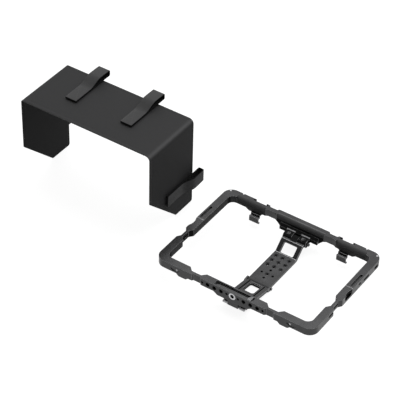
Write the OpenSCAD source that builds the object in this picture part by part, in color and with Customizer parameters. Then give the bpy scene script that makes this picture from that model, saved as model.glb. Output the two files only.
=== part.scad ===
// Tablet cage with a hinged back arm, and the sun hood that belongs to it.
// The cage lies screen side up: X along the long rails, Y towards the rear rail, Z up.
// The origin is the mouth of the arm's lone socket, on the plane that the set stands on.

/* [Ring] */
// Outer width of the ring along X
ring_w = 220; // [210:1:240]
// Outer depth of the ring along Y
ring_d = 159.4; // [152:0.2:180]
// Width of a rail, seen from above
rail_w = 10.4; // [10:0.1:12]
// Height of a rail
rail_h = 10.2; // [10:0.1:12]
// Radius of the ring's outer corners
corner_r = 12.5; // [10:0.5:20]
// Radius of the ring's inner corners
inner_r = 8; // [6:0.5:12]
// Distance of the parting line behind the ring's middle
seam_y = 9.3; // [8.5:0.1:10.5]
// Width of the small groove along the parting line
seam_groove = 0.8; // [0.4:0.1:1.2]
// Length of the tongues that join the two halves
tongue_len = 6; // [5:0.5:8]
// Width of the tongues
tongue_w = 4.4; // [3.6:0.1:5]
// Clearance of parts that are screwed or pressed together
seat_gap = 0.02; // [0.01:0.01:0.05]

/* [Front rail] */
// Height of the row of holes above the rails' underside
hole_z = 5.1; // [5:0.1:5.4]
// Bore of the large threaded holes
hole_d = 5.1; // [4.6:0.1:5.4]
// Depth of the large threaded holes
hole_deep = 8.2; // [7:0.1:9]
// Bore of the small locating holes
pin_hole_d = 3; // [2:0.1:3.4]
// Depth of the small locating holes
pin_hole_deep = 5; // [3:0.5:6]
// First large hole's distance from the middle
hole_x = 15.7; // [15:0.1:17]
// Pitch of the large holes
hole_pitch = 9.35; // [8.8:0.05:9.6]
// Inner locating hole's distance from the middle
near_pin_x = 7.8; // [7.4:0.1:9]
// Outer locating hole's distance from the middle
far_pin_x = 42; // [41:0.1:43]
// Diameter of the steel socket's flange
flange_d = 9.2; // [8.6:0.1:9.4]
// Thickness of the steel socket's flange
flange_t = 1.2; // [0.8:0.1:1.4]
// Diameter of the steel socket's body
socket_d = 7; // [6.4:0.1:7.2]
// Length of the steel socket
socket_len = 4.6; // [3.6:0.1:4.8]
// Foot length of the block under the middle of the front rail
front_block_w = 52; // [48:1:58]
// How far that block hangs below the rails
front_drop = 3.5; // [2.5:0.1:4.5]
// Distance of the inner waists from the middle
waist_x = 53.5; // [50:0.5:58]
// Length of the inner waists at their floor
waist_len = 13; // [10:0.2:16]
// Length of a waist's end slopes
waist_ramp = 5.1; // [3:0.1:6]
// Depth of the inner waists
waist_in = 5.2; // [3:0.1:5.4]
// Distance of the outer waists from the middle
outer_waist_x = 50.6; // [50:0.1:53]
// Depth of the outer waists
waist_out = 2; // [1:0.1:2.2]
// Distance of the low bumps under the front rail from the middle
bump_x = 70.6; // [66:0.1:72]
// How far the bumps hang below the front rail
bump_drop = 3; // [2:0.1:3.4]
// Distance of the lens-shaped pockets from the middle
lens_x = 80.7; // [78:0.1:83]
// Length of a lens-shaped pocket
lens_len = 13.5; // [10:0.5:15]
// Height of a lens-shaped pocket
lens_h = 6; // [4:0.2:7]
// Depth of a lens-shaped pocket
lens_deep = 0.9; // [0.6:0.1:1.4]

/* [Lock bar] */
// Length of the recess in the front rail's top
bed_len = 53.2; // [50:0.2:56]
// Distance of the recess behind the front face
bed_front = 1.7; // [1.6:0.1:2]
// Width of the bar's bed
bed_w = 3.1; // [2.6:0.1:3.2]
// Depth of the bar's bed
bed_deep = 1.2; // [1:0.1:1.3]
// Width of the open channel behind the bar
channel_w = 3.9; // [3:0.1:4]
// Depth of the open channel
channel_deep = 2; // [1.8:0.1:2.2]
// Right end of the bar, from the middle
bar_end = 19.5; // [18:0.1:20.5]
// Length of the tab at the bar's right end
tab_len = 4.7; // [4:0.1:5]
// Travel of the lock bar
lock_travel = 2; // [1:0.1:2.2]
// Running clearance round the bar and tab
lock_gap = 0.06; // [0.04:0.01:0.1]
// Undercut that holds the bar down
lock_lip = 0.35; // [0.2:0.05:0.4]

/* [Side rails] */
// Distance of the side waists in front of the ring's middle
side_waist_y = 24.4; // [22:0.2:28]
// Length of the side waists at their floor
side_waist_len = 12; // [9:0.2:14]
// Depth of the side waists, from the window
side_waist_in = 4; // [2:0.1:4.2]
// Depth of the side waists, from outside
side_waist_out = 3.4; // [2:0.1:3.6]
// Length of the pockets in the side rails' top
pocket_len = 24; // [18:0.2:26]
// Width of the pockets in the side rails' top
pocket_w = 3.2; // [2.4:0.1:3.6]
// Depth of the pockets in the side rails' top
pocket_deep = 2.2; // [1:0.1:2.4]
// Distance of these pockets from the outer face, to their middle
pocket_in = 3.7; // [3:0.1:5]
// Depth of the pockets in the side rails' outer faces
side_pocket_deep = 3; // [1:0.1:3.2]
// Radius of the round scoops in the side rails' outer faces
scoop_r = 17; // [14:0.5:24]
// Depth of the round scoops
scoop_deep = 2; // [1:0.1:2.6]

/* [Rear rail] */
// Foot length of the block under the middle of the rear rail
rear_block_w = 66; // [60:1:70]
// How far that block hangs below the rails
rear_drop = 6.5; // [6:0.1:7]
// How far the block's ledge stands into the window
ledge_in = 3.3; // [2.6:0.1:3.6]
// Length of the ledge
ledge_len = 54; // [48:1:58]
// Height of the ledge's upright face
ledge_h = 4.9; // [3:0.1:5.4]
// Radius of the rounding along the rear rail's inner top edge
rear_edge_r = 5; // [3:0.1:5.2]
// Distance of the strap recesses from the middle
strap_cut_x = 61.6; // [60:0.2:64]
// Length of the strap recesses at their floor
strap_cut_len = 12.4; // [10:0.2:13]
// Depth of the strap recesses
strap_cut = 3.3; // [2:0.1:4]
// Bore of the strap holes beside the recesses
strap_hole_d = 3; // [2:0.1:3.4]
// How far the hook bosses hang below the rear rail
boss_drop = 2.8; // [2.4:0.1:3.2]

/* [Pads] */
// Thickness of the silicone pads
pad_t = 1.2; // [0.8:0.1:1.6]
// How far the pads stand out of their pockets
pad_proud = 0.3; // [0.2:0.1:0.5]
// Height of the liners on the short rails
liner_h = 9; // [7:0.2:9.2]
// Reach of these liners from the ring's middle
liner_reach = 60.5; // [56:0.5:61]
// Where they stop on both sides of a side waist, from the waist's middle
liner_stop = 12.2; // [12:0.1:14]
// Height of the pads on the long rails
pad_h = 4.4; // [3:0.2:4.6]
// Middle of the rear pads, from the ring's middle
rear_pad_x = 71.6; // [71:0.1:72]
// Length of the rear pads
rear_pad_len = 38; // [20:0.5:38]
// Middle of the front pads, from the ring's middle
front_pad_x = 77.9; // [77:0.1:79]
// Length of the front pads
front_pad_len = 25; // [12:0.5:25]

/* [Cable hooks] */
// Distance of each hook from the middle of the rear rail
hook_x = 62.4; // [61:0.1:64]
// Width of a cable hook
hook_w = 13; // [11:0.2:14]
// Thickness of a cable hook's leaf
hook_t = 1.8; // [1.4:0.1:2]
// Height of a cable hook below the rails
hook_h = 13.6; // [12:0.1:15]
// How far a hook's back stands in front of the rail's inner face
hook_in = 6.5; // [5:0.1:8]

/* [Rear hinge] */
// Distance of the hinge pin in front of the rear rail's inner face
hinge_in = 8.3; // [8.2:0.1:9]
// Depth of the hinge pin below the rails
hinge_drop = 6.5; // [6:0.1:6.8]
// Diameter of the hinge pin
hinge_pin_d = 3; // [2.6:0.1:3.4]
// Radius of the hinge ears
ear_r = 4.9; // [4.4:0.1:4.9]
// Overall width of the hinge ears
ears_w = 32.6; // [32:0.2:38]
// Width of the gap between the hinge ears
knuckle_gap = 8.6; // [7:0.1:10]
// Gap at each side of the parts that turn
side_gap = 0.2; // [0.1:0.05:0.4]
// Radial clearance of the pins that turn
pin_clear = 0.05; // [0.02:0.01:0.1]
// Thickness of the hinge block's foot
foot_t = 2; // [1.6:0.1:2.4]
// Length of the hinge pin's knob
knob_len = 3; // [2:0.1:4]
// Diameter of the hinge pin's knob
knob_d = 3.6; // [3.2:0.1:5]

/* [Back arm] */
// Width of the arm
arm_w = 30; // [28:0.2:31]
// Thickness of the arm's plate
plate_t = 4; // [3.8:0.1:4.4]
// Depth of the plate's top face below the rails
arm_drop = 16.5; // [15:0.1:18]
// Depth of the arm's crest below the rails
crest_drop = 4.5; // [3.5:0.1:5.5]
// Distance of the crest's edge in front of the hinge pin
crest_in = 8.7; // [8.4:0.1:10]
// Run of the arm's slope along Y
slope_run = 13.3; // [12:0.1:15]
// Distance along Y between the arm's two pins
arm_len = 81.5; // [80:0.1:84]
// Width of the window in the arm's slope
slope_window_w = 18.4; // [12:0.2:19]
// Length of the window along the slope
slope_window_len = 13.3; // [12:0.1:15]
// Pitch of the plate's grid of threaded holes
grid_pitch = 9.4; // [8.8:0.1:9.6]
// Distance of the grid's centre behind the lone socket
grid_y = 25.1; // [23:0.1:27]
// Distance of the lone socket in front of the ring's middle
socket_front = 2.4; // [1:0.1:4]
// Radius of the ring of small holes round the lone socket
small_ring_r = 7.75; // [7.25:0.05:8.25]
// Bore of the small holes round the lone socket
small_hole_d = 2.6; // [2:0.1:3]

/* [Latch bracket] */
// Width of the bracket's plate
bracket_w = 32; // [31:0.2:34]
// Thickness of the bracket's plate
bracket_t = 4; // [3.4:0.1:4.2]
// Rise of the plate's top face per millimetre of length
bracket_rise = 0.172; // [0.15:0.002:0.18]
// Diameter of the bracket's pin
bracket_pin_d = 2.5; // [2:0.1:2.6]
// Thickness of the bracket's ears
bracket_ear_t = 1.9; // [1.6:0.1:2.4]
// Length of the bracket's window
window_len = 18; // [14:0.5:20]
// Width of the bracket's window
window_w = 13.6; // [10:0.2:15]
// Distance of that window's rear end in front of the bracket's pin
window_back = 6.1; // [5.6:0.1:8]
// Width of the step round the window
window_step = 1.2; // [0.8:0.1:1.6]
// Width of the two grooves beside the window
groove_w = 1.6; // [1:0.1:2]
// Width of the notch between the lips
notch_w = 15.2; // [14:0.1:17]
// Distance of the lips' front edge behind the front face
lip_back = 3.7; // [2:0.1:5]
// Length of the lips in front of the bracket's plate
lip_len = 4; // [3:0.1:5]
// Thickness of the lips
lip_t = 2.4; // [1.8:0.1:2.6]
// Gap between the catch and the notch
catch_gap = 0.6; // [0.4:0.05:1]

/* [Hood] */
// Width of the hood
hood_w = 193.8; // [185:0.2:205]
// Depth of the hood's top panel
hood_d = 91.6; // [85:0.2:100]
// Height of the hood's rear edges
hood_h = 127.6; // [120:0.2:135]
// Height of the hood's front edges
hood_front_h = 73.1; // [65:0.2:90]
// Length of the foot of each side panel
hood_foot = 35.3; // [30:0.1:45]
// Thickness of the hood's board and skin
hood_t = 1.4; // [1:0.1:3]
// Outer radius of the hood's right bend
hood_bend_r = 7; // [5:0.5:10]
// Outer radius of the hood's left bend
hood_left_r = 3; // [3:0.5:10]
// Radius of the panels' corners
hood_corner_r = 3; // [2:0.5:6]
// Gap between the hood and the ring
hood_gap = 42.8; // [30:0.2:60]
// Distance of the hood's rear edge behind the ring's middle
hood_rear = 62.2; // [40:0.2:80]

/* [Straps] */
// Width of a strap
strap_w = 16.6; // [12:0.2:20]
// Thickness of a strap's tape
strap_t = 1.3; // [1:0.1:2]
// Length of a strap's end where both layers lie on the hood
strap_flat = 29; // [16:0.5:34]
// Length over which the upper layer rises
strap_rise = 22; // [12:0.5:24]
// Reach of a strap's loop past the hood's rear edge
strap_past = 12; // [8:0.5:16]
// Height between the two layers of the loop
strap_arch = 6.2; // [5:0.2:12]
// How far the loop's rear end droops
strap_droop = 0.6; // [0:0.1:1.5]
// Radius of the loop's rear end
strap_end_r = 2; // [1.6:0.1:3]
// Distance of the straps' front ends from the hood's rear edge
strap_start = 58; // [52:0.5:60]
// First top strap's middle from the hood's left end
strap_x1 = 51; // [40:0.2:60]
// Second top strap's middle from the hood's left end
strap_x2 = 134; // [120:0.2:150]
// Side straps' middle above the hood's foot
strap_z = 38; // [30:0.5:60]
// Thickness of the tape patches under the straps
patch_t = 0.8; // [0.5:0.1:1.2]

/* [Hidden] */
$fn = 48;
eps = 0.01;

// Height of the rails' underside above the standing plane
rail_z = arm_drop + plate_t;
// Faces of the rails, measured from the ring's middle
side_x = ring_w / 2;
side_in = side_x - rail_w;
front_y = -ring_d / 2;
front_in = front_y + rail_w;
rear_y = ring_d / 2;
rear_in = rear_y - rail_w;
// Length of cutters that pass right through the rails
far = 2 * ring_w;
// Middle of the frame's tongues, along X
tongue_x = side_x - 6.2;
// Height of the tongues' underside above the rails' underside, and their height
tongue_z = 2.4;
tongue_h = 5;
// Screw sizes: shank and head diameters, head height
m2 = [2, 3.6, 1.4];
m25 = [2.5, 4.4, 1.5];
// Lengths of the frame's and the hooks' screws
frame_screw = 6.4;
hook_screw = 7;
// Front and rear ends of the liners, and the undersides of liners and pads
liners = [[-side_waist_y + liner_stop, liner_reach], [-liner_reach, -side_waist_y - liner_stop]];
liner_z = 0.6;
pad_z = 0.5;
// How deep liners and pads sit in the walls
pad_in = pad_t - pad_proud;
// Hinge pin, crest and bend of the arm, along Y
hinge_y = rear_in - hinge_in;
crest_y = hinge_y - crest_in;
bend_y = crest_y - slope_run;
slope_turn = atan((arm_drop - crest_drop) / slope_run);
knuckle_r = ear_r - 0.3;
// Bracket pin: the arm's knuckle there is as thick as its plate and a little proud of it
pin_y = hinge_y - arm_len;
small_knuckle_r = plate_t / 2 + 0.2;
pin_z = -arm_drop - plate_t + small_knuckle_r;
// Bracket plate: rear edge, front edge, top face
bracket_rear = pin_y - small_knuckle_r - 0.5;
bracket_front = front_y + lip_back + lip_len;
bracket_turn = atan(bracket_rise);
function bracket_top(y) = pin_z + small_knuckle_r - 0.4 + (pin_y - y) * bracket_rise;
lip_z = bracket_top(bracket_front) - bracket_t - 2;
// Length of the bracket's foot over the lips
lip_foot = 6;
// Left end of the hood
hood_x = -side_x - hood_gap - hood_w;
// Colours shown while the source is edited
black = [0.16, 0.16, 0.17];
steel = [0.75, 0.75, 0.77];
rubber = [0.06, 0.06, 0.06];
cloth = [0.1, 0.1, 0.1];

module cage() {
  translate([0, socket_front, rail_z]) children();
}

module both() {
  children();
  mirror([1, 0, 0]) children();
}

// A profile drawn in Y and Z, extruded along X and centred there
module along_x(len) {
  rotate([90, 0, 90]) translate([0, 0, -len / 2]) linear_extrude(len) children();
}

// A block with rounded upright edges, centred on the Z axis
module round_block(w, d, h, r) {
  translate([-w / 2 + r, -d / 2, 0]) cube([w - 2 * r, d, h]);
  translate([-w / 2, -d / 2 + r, 0]) cube([w, d - 2 * r, h]);
  for (x = [-1, 1], y = [-1, 1])
    translate([x * (w / 2 - r), y * (d / 2 - r), 0]) cylinder(r = r, h = h);
}

// A slot with round ends along X, standing up along Z
module slot_x(len, w, h) {
  translate([-len / 2 + w / 2, -w / 2, 0]) cube([len - w, w, h]);
  for (s = [-1, 1]) translate([s * (len - w) / 2, 0, 0]) cylinder(d = w, h = h);
}

// A trapezoid cut through a rail, its mouth on the X axis and its floor at +Y
module waist_cut(len, deep, ramp) {
  translate([0, 0, -20]) linear_extrude(40)
    polygon([
      [-len / 2 - ramp, -1], [-len / 2 - ramp, 0], [-len / 2, deep],
      [len / 2, deep], [len / 2 + ramp, 0], [len / 2 + ramp, -1],
    ]);
}

// A block that hangs from z = 0 with sloping ends
module hanging_block(w, d, h, run) {
  rotate([90, 0, 0]) translate([0, 0, -d / 2]) linear_extrude(d)
    polygon([
      [-w / 2, 0], [-w / 2, 1], [w / 2, 1], [w / 2, 0], [w / 2 - run, -h], [-w / 2 + run, -h],
    ]);
}

// Head below, shank above: a screw that is driven upwards, with a hexagon socket
module screw_up(size, len) {
  difference() {
    union() {
      cylinder(d = size[1] - 2 * seat_gap, h = size[2]);
      cylinder(d = size[0] - 2 * seat_gap, h = len);
    }
    translate([0, 0, -1]) cylinder(d = size[0] * 0.8, h = 1.7, $fn = 6);
  }
}

module screw_hole(size, len, sunk) {
  translate([0, 0, sunk]) cylinder(d = size[0], h = len - sunk + 0.3);
  translate([0, 0, -5]) cylinder(d = size[1], h = 5 + sunk);
}

// Both halves of the ring in one piece, before it is parted
module ring_body() {
  difference() {
    round_block(ring_w, ring_d, rail_h, corner_r);
    translate([0, 0, -1]) round_block(ring_w - 2 * rail_w, ring_d - 2 * rail_w, rail_h + 2, inner_r);
    // Groove along the parting line
    translate([-far / 2, seam_y, rail_h]) rotate([45, 0, 0])
      translate([0, -seam_groove / 2, -seam_groove / 2]) cube([far, seam_groove, seam_groove]);
    both() {
      // Side waists, pockets and scoops
      translate([side_in, -side_waist_y, 0]) rotate([0, 0, -90])
        waist_cut(side_waist_len + 1, side_waist_in, 5);
      translate([side_x, -side_waist_y, 0]) rotate([0, 0, 90])
        waist_cut(side_waist_len - 2, side_waist_out, 5);
      translate([side_x - pocket_in, seam_y + 2.7 + pocket_len / 2, rail_h - pocket_deep])
        rotate([0, 0, 90]) slot_x(pocket_len, pocket_w, pocket_deep + 1);
      translate([side_x - scoop_deep + scoop_r, -0.5, 2.6])
        cylinder(r = scoop_r, h = rail_h, $fn = 96);
      for (p = outer_pockets) outer_pocket(p);
      for (l = liners)
        translate([side_in + pad_in + seat_gap - 5, l[0] - seat_gap, liner_z - seat_gap])
          cube([5, l[1] - l[0] + 2 * seat_gap, liner_h + 2 * seat_gap]);
    }
  }
}

// Pockets in the side rails' outer faces: middle along Y, length, height, middle above the
// rails' underside, depth; the one in the side waist passes right through
outer_pockets = [
  [63.6, 8, 4.2, 4.3, side_pocket_deep + 0.4], [40.7, 12, 3.2, 4.2, side_pocket_deep],
  [25.2, 5, 3, 5.9, side_pocket_deep], [0.4, 13, 4.2, 4.4, side_pocket_deep + 0.4],
  [-side_waist_y - 0.6, side_waist_len, 3.4, 5.1, rail_w + 1], [-39, 11, 3, 5.6, side_pocket_deep],
];
module outer_pocket(p) {
  translate([side_x - p[4], p[0], p[3]]) rotate([90, 0, 90]) slot_x(p[1], p[2], rail_w + 2);
}

// Rounding of the rear rail's inner top edge
module rear_rounding(len) {
  along_x(len) difference() {
    translate([rear_in - 1, rail_h - rear_edge_r]) square([rear_edge_r + 1, rear_edge_r + 1]);
    translate([rear_in + rear_edge_r, rail_h - rear_edge_r]) circle(r = rear_edge_r);
  }
}

module rear_frame() {
  color(black) cage()
    difference() {
      union() {
        intersection() {
          ring_body();
          translate([-far / 2, seam_y, -1]) cube([far, ring_d, rail_h + 2]);
        }
        translate([0, rear_y - rail_w / 2, 0])
          hanging_block(rear_block_w, rail_w, rear_drop, rear_drop);
        // The middle block flares out to a ledge over the hinge
        along_x(ledge_len) polygon([
          [rear_in + 1, -rear_drop], [rear_in - ledge_in, -rear_drop], [rear_in - ledge_in,
            ledge_h - rear_drop],
          [rear_in, ledge_h - rear_drop + ledge_in], [rear_in + 1, ledge_h - rear_drop + ledge_in],
        ]);
        both() translate([66, rear_y - rail_w / 2, 0]) hanging_block(25, rail_w, boss_drop, 4.6);
      }
      both() {
        // Rounded inner edge, waists and strap recesses
        translate([71.4, 0, 0]) rear_rounding(41.3);
        translate([41.8, rear_in, 0]) waist_cut(10.5, 1.9, 3.2);
        translate([42.6, rear_y, 0]) rotate([0, 0, 180]) waist_cut(9.8, 2.4, 2);
        translate([strap_cut_x, rear_y, 0]) rotate([0, 0, 180])
          waist_cut(strap_cut_len, strap_cut, 1.2);
        translate([87.8, rear_y, 0]) rotate([0, 0, 180]) waist_cut(0.8, 1.7, 0.8);
        translate([strap_cut_x - strap_cut_len / 2 - 4, rear_y - 2, rail_h - 0.8]) rotate([0, 90, 0])
          cylinder(d = strap_hole_d, h = strap_cut_len + 8);
        // Seats of the cable hooks, screws and pads
        translate([hook_x - hook_w / 2 - seat_gap, rear_in - 5, -10])
          cube([hook_w + 2 * seat_gap, 11.8, 9]);
        translate([hook_x, rear_in + 3.6, -3]) cylinder(d = m25[0], h = 8);
        translate([11, rear_y - 5, -rear_drop - 1]) cylinder(d = m25[0], h = 8);
        translate([side_x - 5.6, rear_y - 4.6, rail_h - 1.4]) cylinder(d = 2.6, h = 3);
        translate([rear_pad_x - rear_pad_len / 2 - seat_gap, rear_in - 5 + pad_in + seat_gap,
          pad_z - seat_gap])
          cube([rear_pad_len + 2 * seat_gap, 5, pad_h + 2 * seat_gap]);
        // Socket and screw hole of the joining tongue
        translate([tongue_x - tongue_w / 2 - seat_gap, seam_y - 1, tongue_z - seat_gap])
          cube([tongue_w + 2 * seat_gap, tongue_len + 1.3, tongue_h + 2 * seat_gap]);
        translate([tongue_x, seam_y + tongue_len / 2, 0])
          screw_hole(m25, frame_screw + 0.2, m25[2] + 0.1);
      }
      rear_rounding(rear_block_w + 0.6);
    }
}

module front_frame() {
  color(black) cage()
    difference() {
      union() {
        intersection() {
          ring_body();
          translate([-far / 2, seam_y - seat_gap - ring_d, -1]) cube([far, ring_d, rail_h + 2]);
        }
        both() translate([tongue_x - tongue_w / 2, seam_y - 1, tongue_z])
          cube([tongue_w, tongue_len + 1, tongue_h]);
        translate([0, front_y + rail_w / 2, 0]) hanging_block(front_block_w, rail_w, front_drop, 5.4);
        both() translate([bump_x, front_y + rail_w / 2, 0]) hanging_block(17, rail_w, bump_drop, 3.4);
      }
      lock_bed();
      translate([0, front_y, hole_z]) rotate([-90, 0, 0]) {
        translate([0, 0, -1]) cylinder(d = flange_d, h = flange_t + 1);
        translate([0, 0, -1]) cylinder(d = socket_d, h = socket_len + 1);
        translate([0, 0, -1]) cylinder(d = hole_d, h = hole_deep + 1);
        both() {
          for (i = [0:2]) translate([hole_x + i * hole_pitch, 0, -1])
            cylinder(d = hole_d, h = hole_deep + 1);
          for (x = [near_pin_x, far_pin_x]) translate([x, 0, -1])
            cylinder(d = pin_hole_d, h = pin_hole_deep + 1);
        }
      }
      both() {
        translate([waist_x, front_in, 0]) rotate([0, 0, 180])
          waist_cut(waist_len, waist_in, waist_ramp);
        translate([outer_waist_x, front_y, 0]) waist_cut(9, waist_out, 2);
        // Lens-shaped pocket: two wide bores that overlap
        intersection() {
          lens_bore(1);
          lens_bore(-1);
        }
        translate([lens_x - 2, front_y, hole_z - 0.9]) rotate([-90, 0, 0])
          cylinder(d = m25[0], h = 6.4);
        translate([front_pad_x - front_pad_len / 2 - seat_gap, front_in - pad_in - seat_gap,
          pad_z - seat_gap])
          cube([front_pad_len + 2 * seat_gap, 5, pad_h + 2 * seat_gap]);
        translate([4, front_y + 5.4, -front_drop - 1]) cylinder(d = m2[0], h = 4);
        translate([tongue_x, seam_y + tongue_len / 2, 0]) cylinder(d = m25[0], h = 7);
      }
    }
}

lens_r = (lens_len * lens_len / 4 + lens_h * lens_h / 4) / lens_h;
module lens_bore(s) {
  translate([lens_x, front_y - 1, rail_h / 2 - 0.6 + s * (lens_r - lens_h / 2)])
    rotate([-90, 0, 0]) cylinder(r = lens_r, h = lens_deep + 1, $fn = 96);
}

// Bed of the lock bar with its undercut, and the open channel behind it
bed_y = front_y + bed_front;
channel_y = bed_y + bed_w;
module lock_bed() {
  along_x(bed_len) polygon([
    [bed_y, rail_h + 1], [bed_y, rail_h], [bed_y - lock_lip, rail_h - bed_deep],
    [channel_y, rail_h - bed_deep], [channel_y, rail_h + 1],
  ]);
  translate([-bed_len / 2, channel_y - eps, rail_h - channel_deep])
    cube([bed_len, channel_w + eps, channel_deep + 1]);
  translate([bar_end - 3, channel_y, rail_h - channel_deep])
    cube([bed_len / 2 - bar_end + 3, channel_w + 2 * lock_lip, channel_deep / 2]);
}

module lock_bar() {
  color(black) cage()
    intersection() {
      along_x(2 * (bed_len / 2 - lock_gap)) polygon([
        [bed_y + lock_gap, rail_h - lock_gap], [bed_y + lock_gap - lock_lip,
          rail_h - bed_deep + lock_gap],
        [channel_y, rail_h - bed_deep + lock_gap], [channel_y, rail_h - lock_gap],
      ]);
      // The left end is cut at a slant
      linear_extrude(2 * rail_h) polygon([
        [-bed_len / 2, bed_y - 1], [bar_end - seat_gap, bed_y - 1], [bar_end - seat_gap,
          channel_y + 1],
        [-19 + 1, channel_y + 1], [-bed_len / 2 + 0.6, bed_y],
      ]);
    }
}

// Light tab at the bar's right end: a top and a foot that runs in the channel
module lock_tab() {
  back = channel_y + channel_w - lock_gap;
  color([0.6, 0.6, 0.62]) cage() {
    translate([0, 0, rail_h - bed_deep + lock_gap]) linear_extrude(bed_deep + 0.1) polygon([
      [bar_end, bed_y + lock_gap], [bar_end, channel_y + 1], [bar_end + 2.8, back],
      [bar_end + tab_len, back], [bar_end + tab_len, bed_y + lock_gap],
    ]);
    translate([bar_end, channel_y + lock_gap, rail_h - channel_deep + lock_gap])
      cube([tab_len, channel_w - 2 * lock_gap + 2 * lock_lip - lock_gap,
        channel_deep / 2 - 2 * lock_gap]);
    translate([bar_end, channel_y + lock_gap, rail_h - channel_deep + lock_gap])
      cube([tab_len, 1, channel_deep - bed_deep + eps]);
  }
}

// Screws that go up through the rear half into the tongues
module frame_screws() {
  color(steel) cage()
    for (s = [-1, 1]) translate([s * tongue_x, seam_y + tongue_len / 2, 0.1])
      screw_up(m25, frame_screw);
}

module socket_insert() {
  color(steel) cage()
    translate([0, front_y, hole_z]) rotate([-90, 0, 0])
      difference() {
        union() {
          cylinder(d = flange_d - 2 * seat_gap, h = flange_t - seat_gap);
          cylinder(d = socket_d - 2 * seat_gap, h = socket_len - seat_gap);
        }
        translate([0, 0, -1]) cylinder(d = hole_d, h = socket_len + 2);
      }
}

// Silicone liners in shallow pockets of the short rails' walls
module side_pads() {
  color(rubber) cage()
    for (l = liners) both()
      translate([side_in - pad_proud, l[0], liner_z]) cube([pad_t, l[1] - l[0], liner_h]);
}

// Silicone pads in the long rails' walls
module end_pads() {
  color(rubber) cage()
    both() {
      translate([rear_pad_x - rear_pad_len / 2, rear_in - pad_proud, pad_z])
        cube([rear_pad_len, pad_t, pad_h]);
      translate([front_pad_x - front_pad_len / 2, front_in - pad_in, pad_z])
        cube([front_pad_len, pad_t, pad_h]);
    }
}

// J-shaped hook: a foot let into the boss, a groove, a back in the window and a lip that returns
hook_back = rear_in - hook_in;
module hook_profile() {
  polygon([
    [rear_in + 6.6, -1 - seat_gap], [rear_in - 2.7, -1 - seat_gap], [rear_in - 2.7, -2.4],
      [rear_in - 3.2, -4.6],
    [hook_back + 1.8, -4.6], [hook_back + 1.6, -3.2], [hook_back, -3.4],
    [hook_back, -hook_h + 2.3], [hook_back + 2.2, -hook_h],
    [hook_back + 4.6, -hook_h], [hook_back + 4.6, -hook_h + 1.5], [hook_back + 3.2, -hook_h + 1.5],
    [hook_back + hook_t, -hook_h + 3.1], [hook_back + hook_t, -6.6], [hook_back + 2.4, -6],
      [hook_back + 5, -5.8],
    [hook_back + 5, -1 - hook_t], [rear_in + 6.6, -1 - hook_t],
  ]);
}

module cable_hook(x) {
  color(black) cage()
    difference() {
      translate([x, 0, 0]) along_x(hook_w) hook_profile();
      // Fine grip ribs on the hook's back
      for (i = [0:4])
        translate([x - hook_w, hook_back - 0.9, -6 - i * 1.2]) rotate([0, 90, 0])
          cylinder(r = 1.15, h = 2 * hook_w);
      translate([x, rear_in + 3.6, -5]) cylinder(d = m25[0], h = 8);
    }
}

module cable_hook_left() {
  cable_hook(-hook_x);
}

module cable_hook_right() {
  cable_hook(hook_x);
}

module hook_screws() {
  color(steel) cage()
    for (s = [-1, 1]) translate([s * hook_x, rear_in + 3.6, -1 - hook_t - m25[2] - seat_gap])
      screw_up(m25, hook_screw);
}

// Two ears and a foot that is screwed up into the rear block
module hinge_block() {
  ear_w = (ears_w - knuckle_gap) / 2;
  color(black) cage()
    difference() {
      union() {
        for (s = [-1, 1]) translate([s * (knuckle_gap + ear_w) / 2, 0, 0]) along_x(ear_w) {
          translate([hinge_y, -hinge_drop]) circle(r = ear_r);
          polygon([
            [hinge_y, -hinge_drop + ear_r], [rear_in - ledge_in - seat_gap, -hinge_drop + ear_r],
            [rear_in - ledge_in - seat_gap, -rear_drop - seat_gap], [rear_in, -rear_drop - seat_gap],
            [rear_in, -rear_drop - foot_t], [hinge_y, -rear_drop - foot_t],
          ]);
        }
        translate([-ears_w / 2, hinge_y + ear_r + 0.2, -rear_drop - foot_t])
          cube([ears_w, rear_y - 2 - hinge_y - ear_r, foot_t - seat_gap]);
      }
      translate([-ears_w, hinge_y, -hinge_drop]) rotate([0, 90, 0])
        cylinder(d = hinge_pin_d, h = 2 * ears_w);
      for (s = [-1, 1]) {
        translate([s * 11, rear_y - 5, -rear_drop - foot_t - 1]) cylinder(d = m25[0], h = 8);
        translate([s * 10, hinge_y, -hinge_drop]) cylinder(d = m2[0], h = 10);
        translate([s * 10, hinge_y, -hinge_drop + ear_r - 0.9]) cylinder(d = m2[1] + 0.4, h = 3);
      }
    }
}

module hinge_block_screws() {
  color(steel) cage()
    for (s = [-1, 1])
      translate([s * 11, rear_y - 5, -rear_drop - foot_t - m25[2] - seat_gap]) screw_up(m25, 8.4);
}

// Hinge pin with a small turned knob at its right end
module hinge_pin() {
  color(steel) cage()
    translate([0, hinge_y, -hinge_drop]) rotate([0, 90, 0]) {
      translate([0, 0, -ears_w / 2 + 0.3]) cylinder(d = hinge_pin_d - seat_gap, h = ears_w);
      translate([0, 0, ears_w / 2 + 0.1]) rotate_extrude() polygon([
        [0, 0], [knob_d / 2 - 0.5, 0], [knob_d / 2, 0.5], [knob_d / 2, knob_len - 0.5],
        [knob_d / 2 - 0.5, knob_len], [0, knob_len],
      ]);
    }
}

// Button screws in the ears' tops, which hold the pin
module pin_lock_screws() {
  color(steel) cage()
    for (s = [-1, 1]) translate([s * 10, hinge_y, -hinge_drop + ear_r - 0.9 + seat_gap]) {
      difference() {
        rotate_extrude() polygon([[0, 0], [1.9, 0], [1.9, 0.6], [1.4, 1.3], [0.7, 1.6], [0, 1.6]]);
        translate([0, 0, 0.9]) cylinder(d = 1.3, h = 1, $fn = 6);
      }
      translate([0, 0, -ear_r + 0.9 + hinge_pin_d / 2])
        cylinder(d = m2[0] - 2 * seat_gap, h = ear_r - hinge_pin_d / 2 - 0.9 + eps);
    }
}

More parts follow.
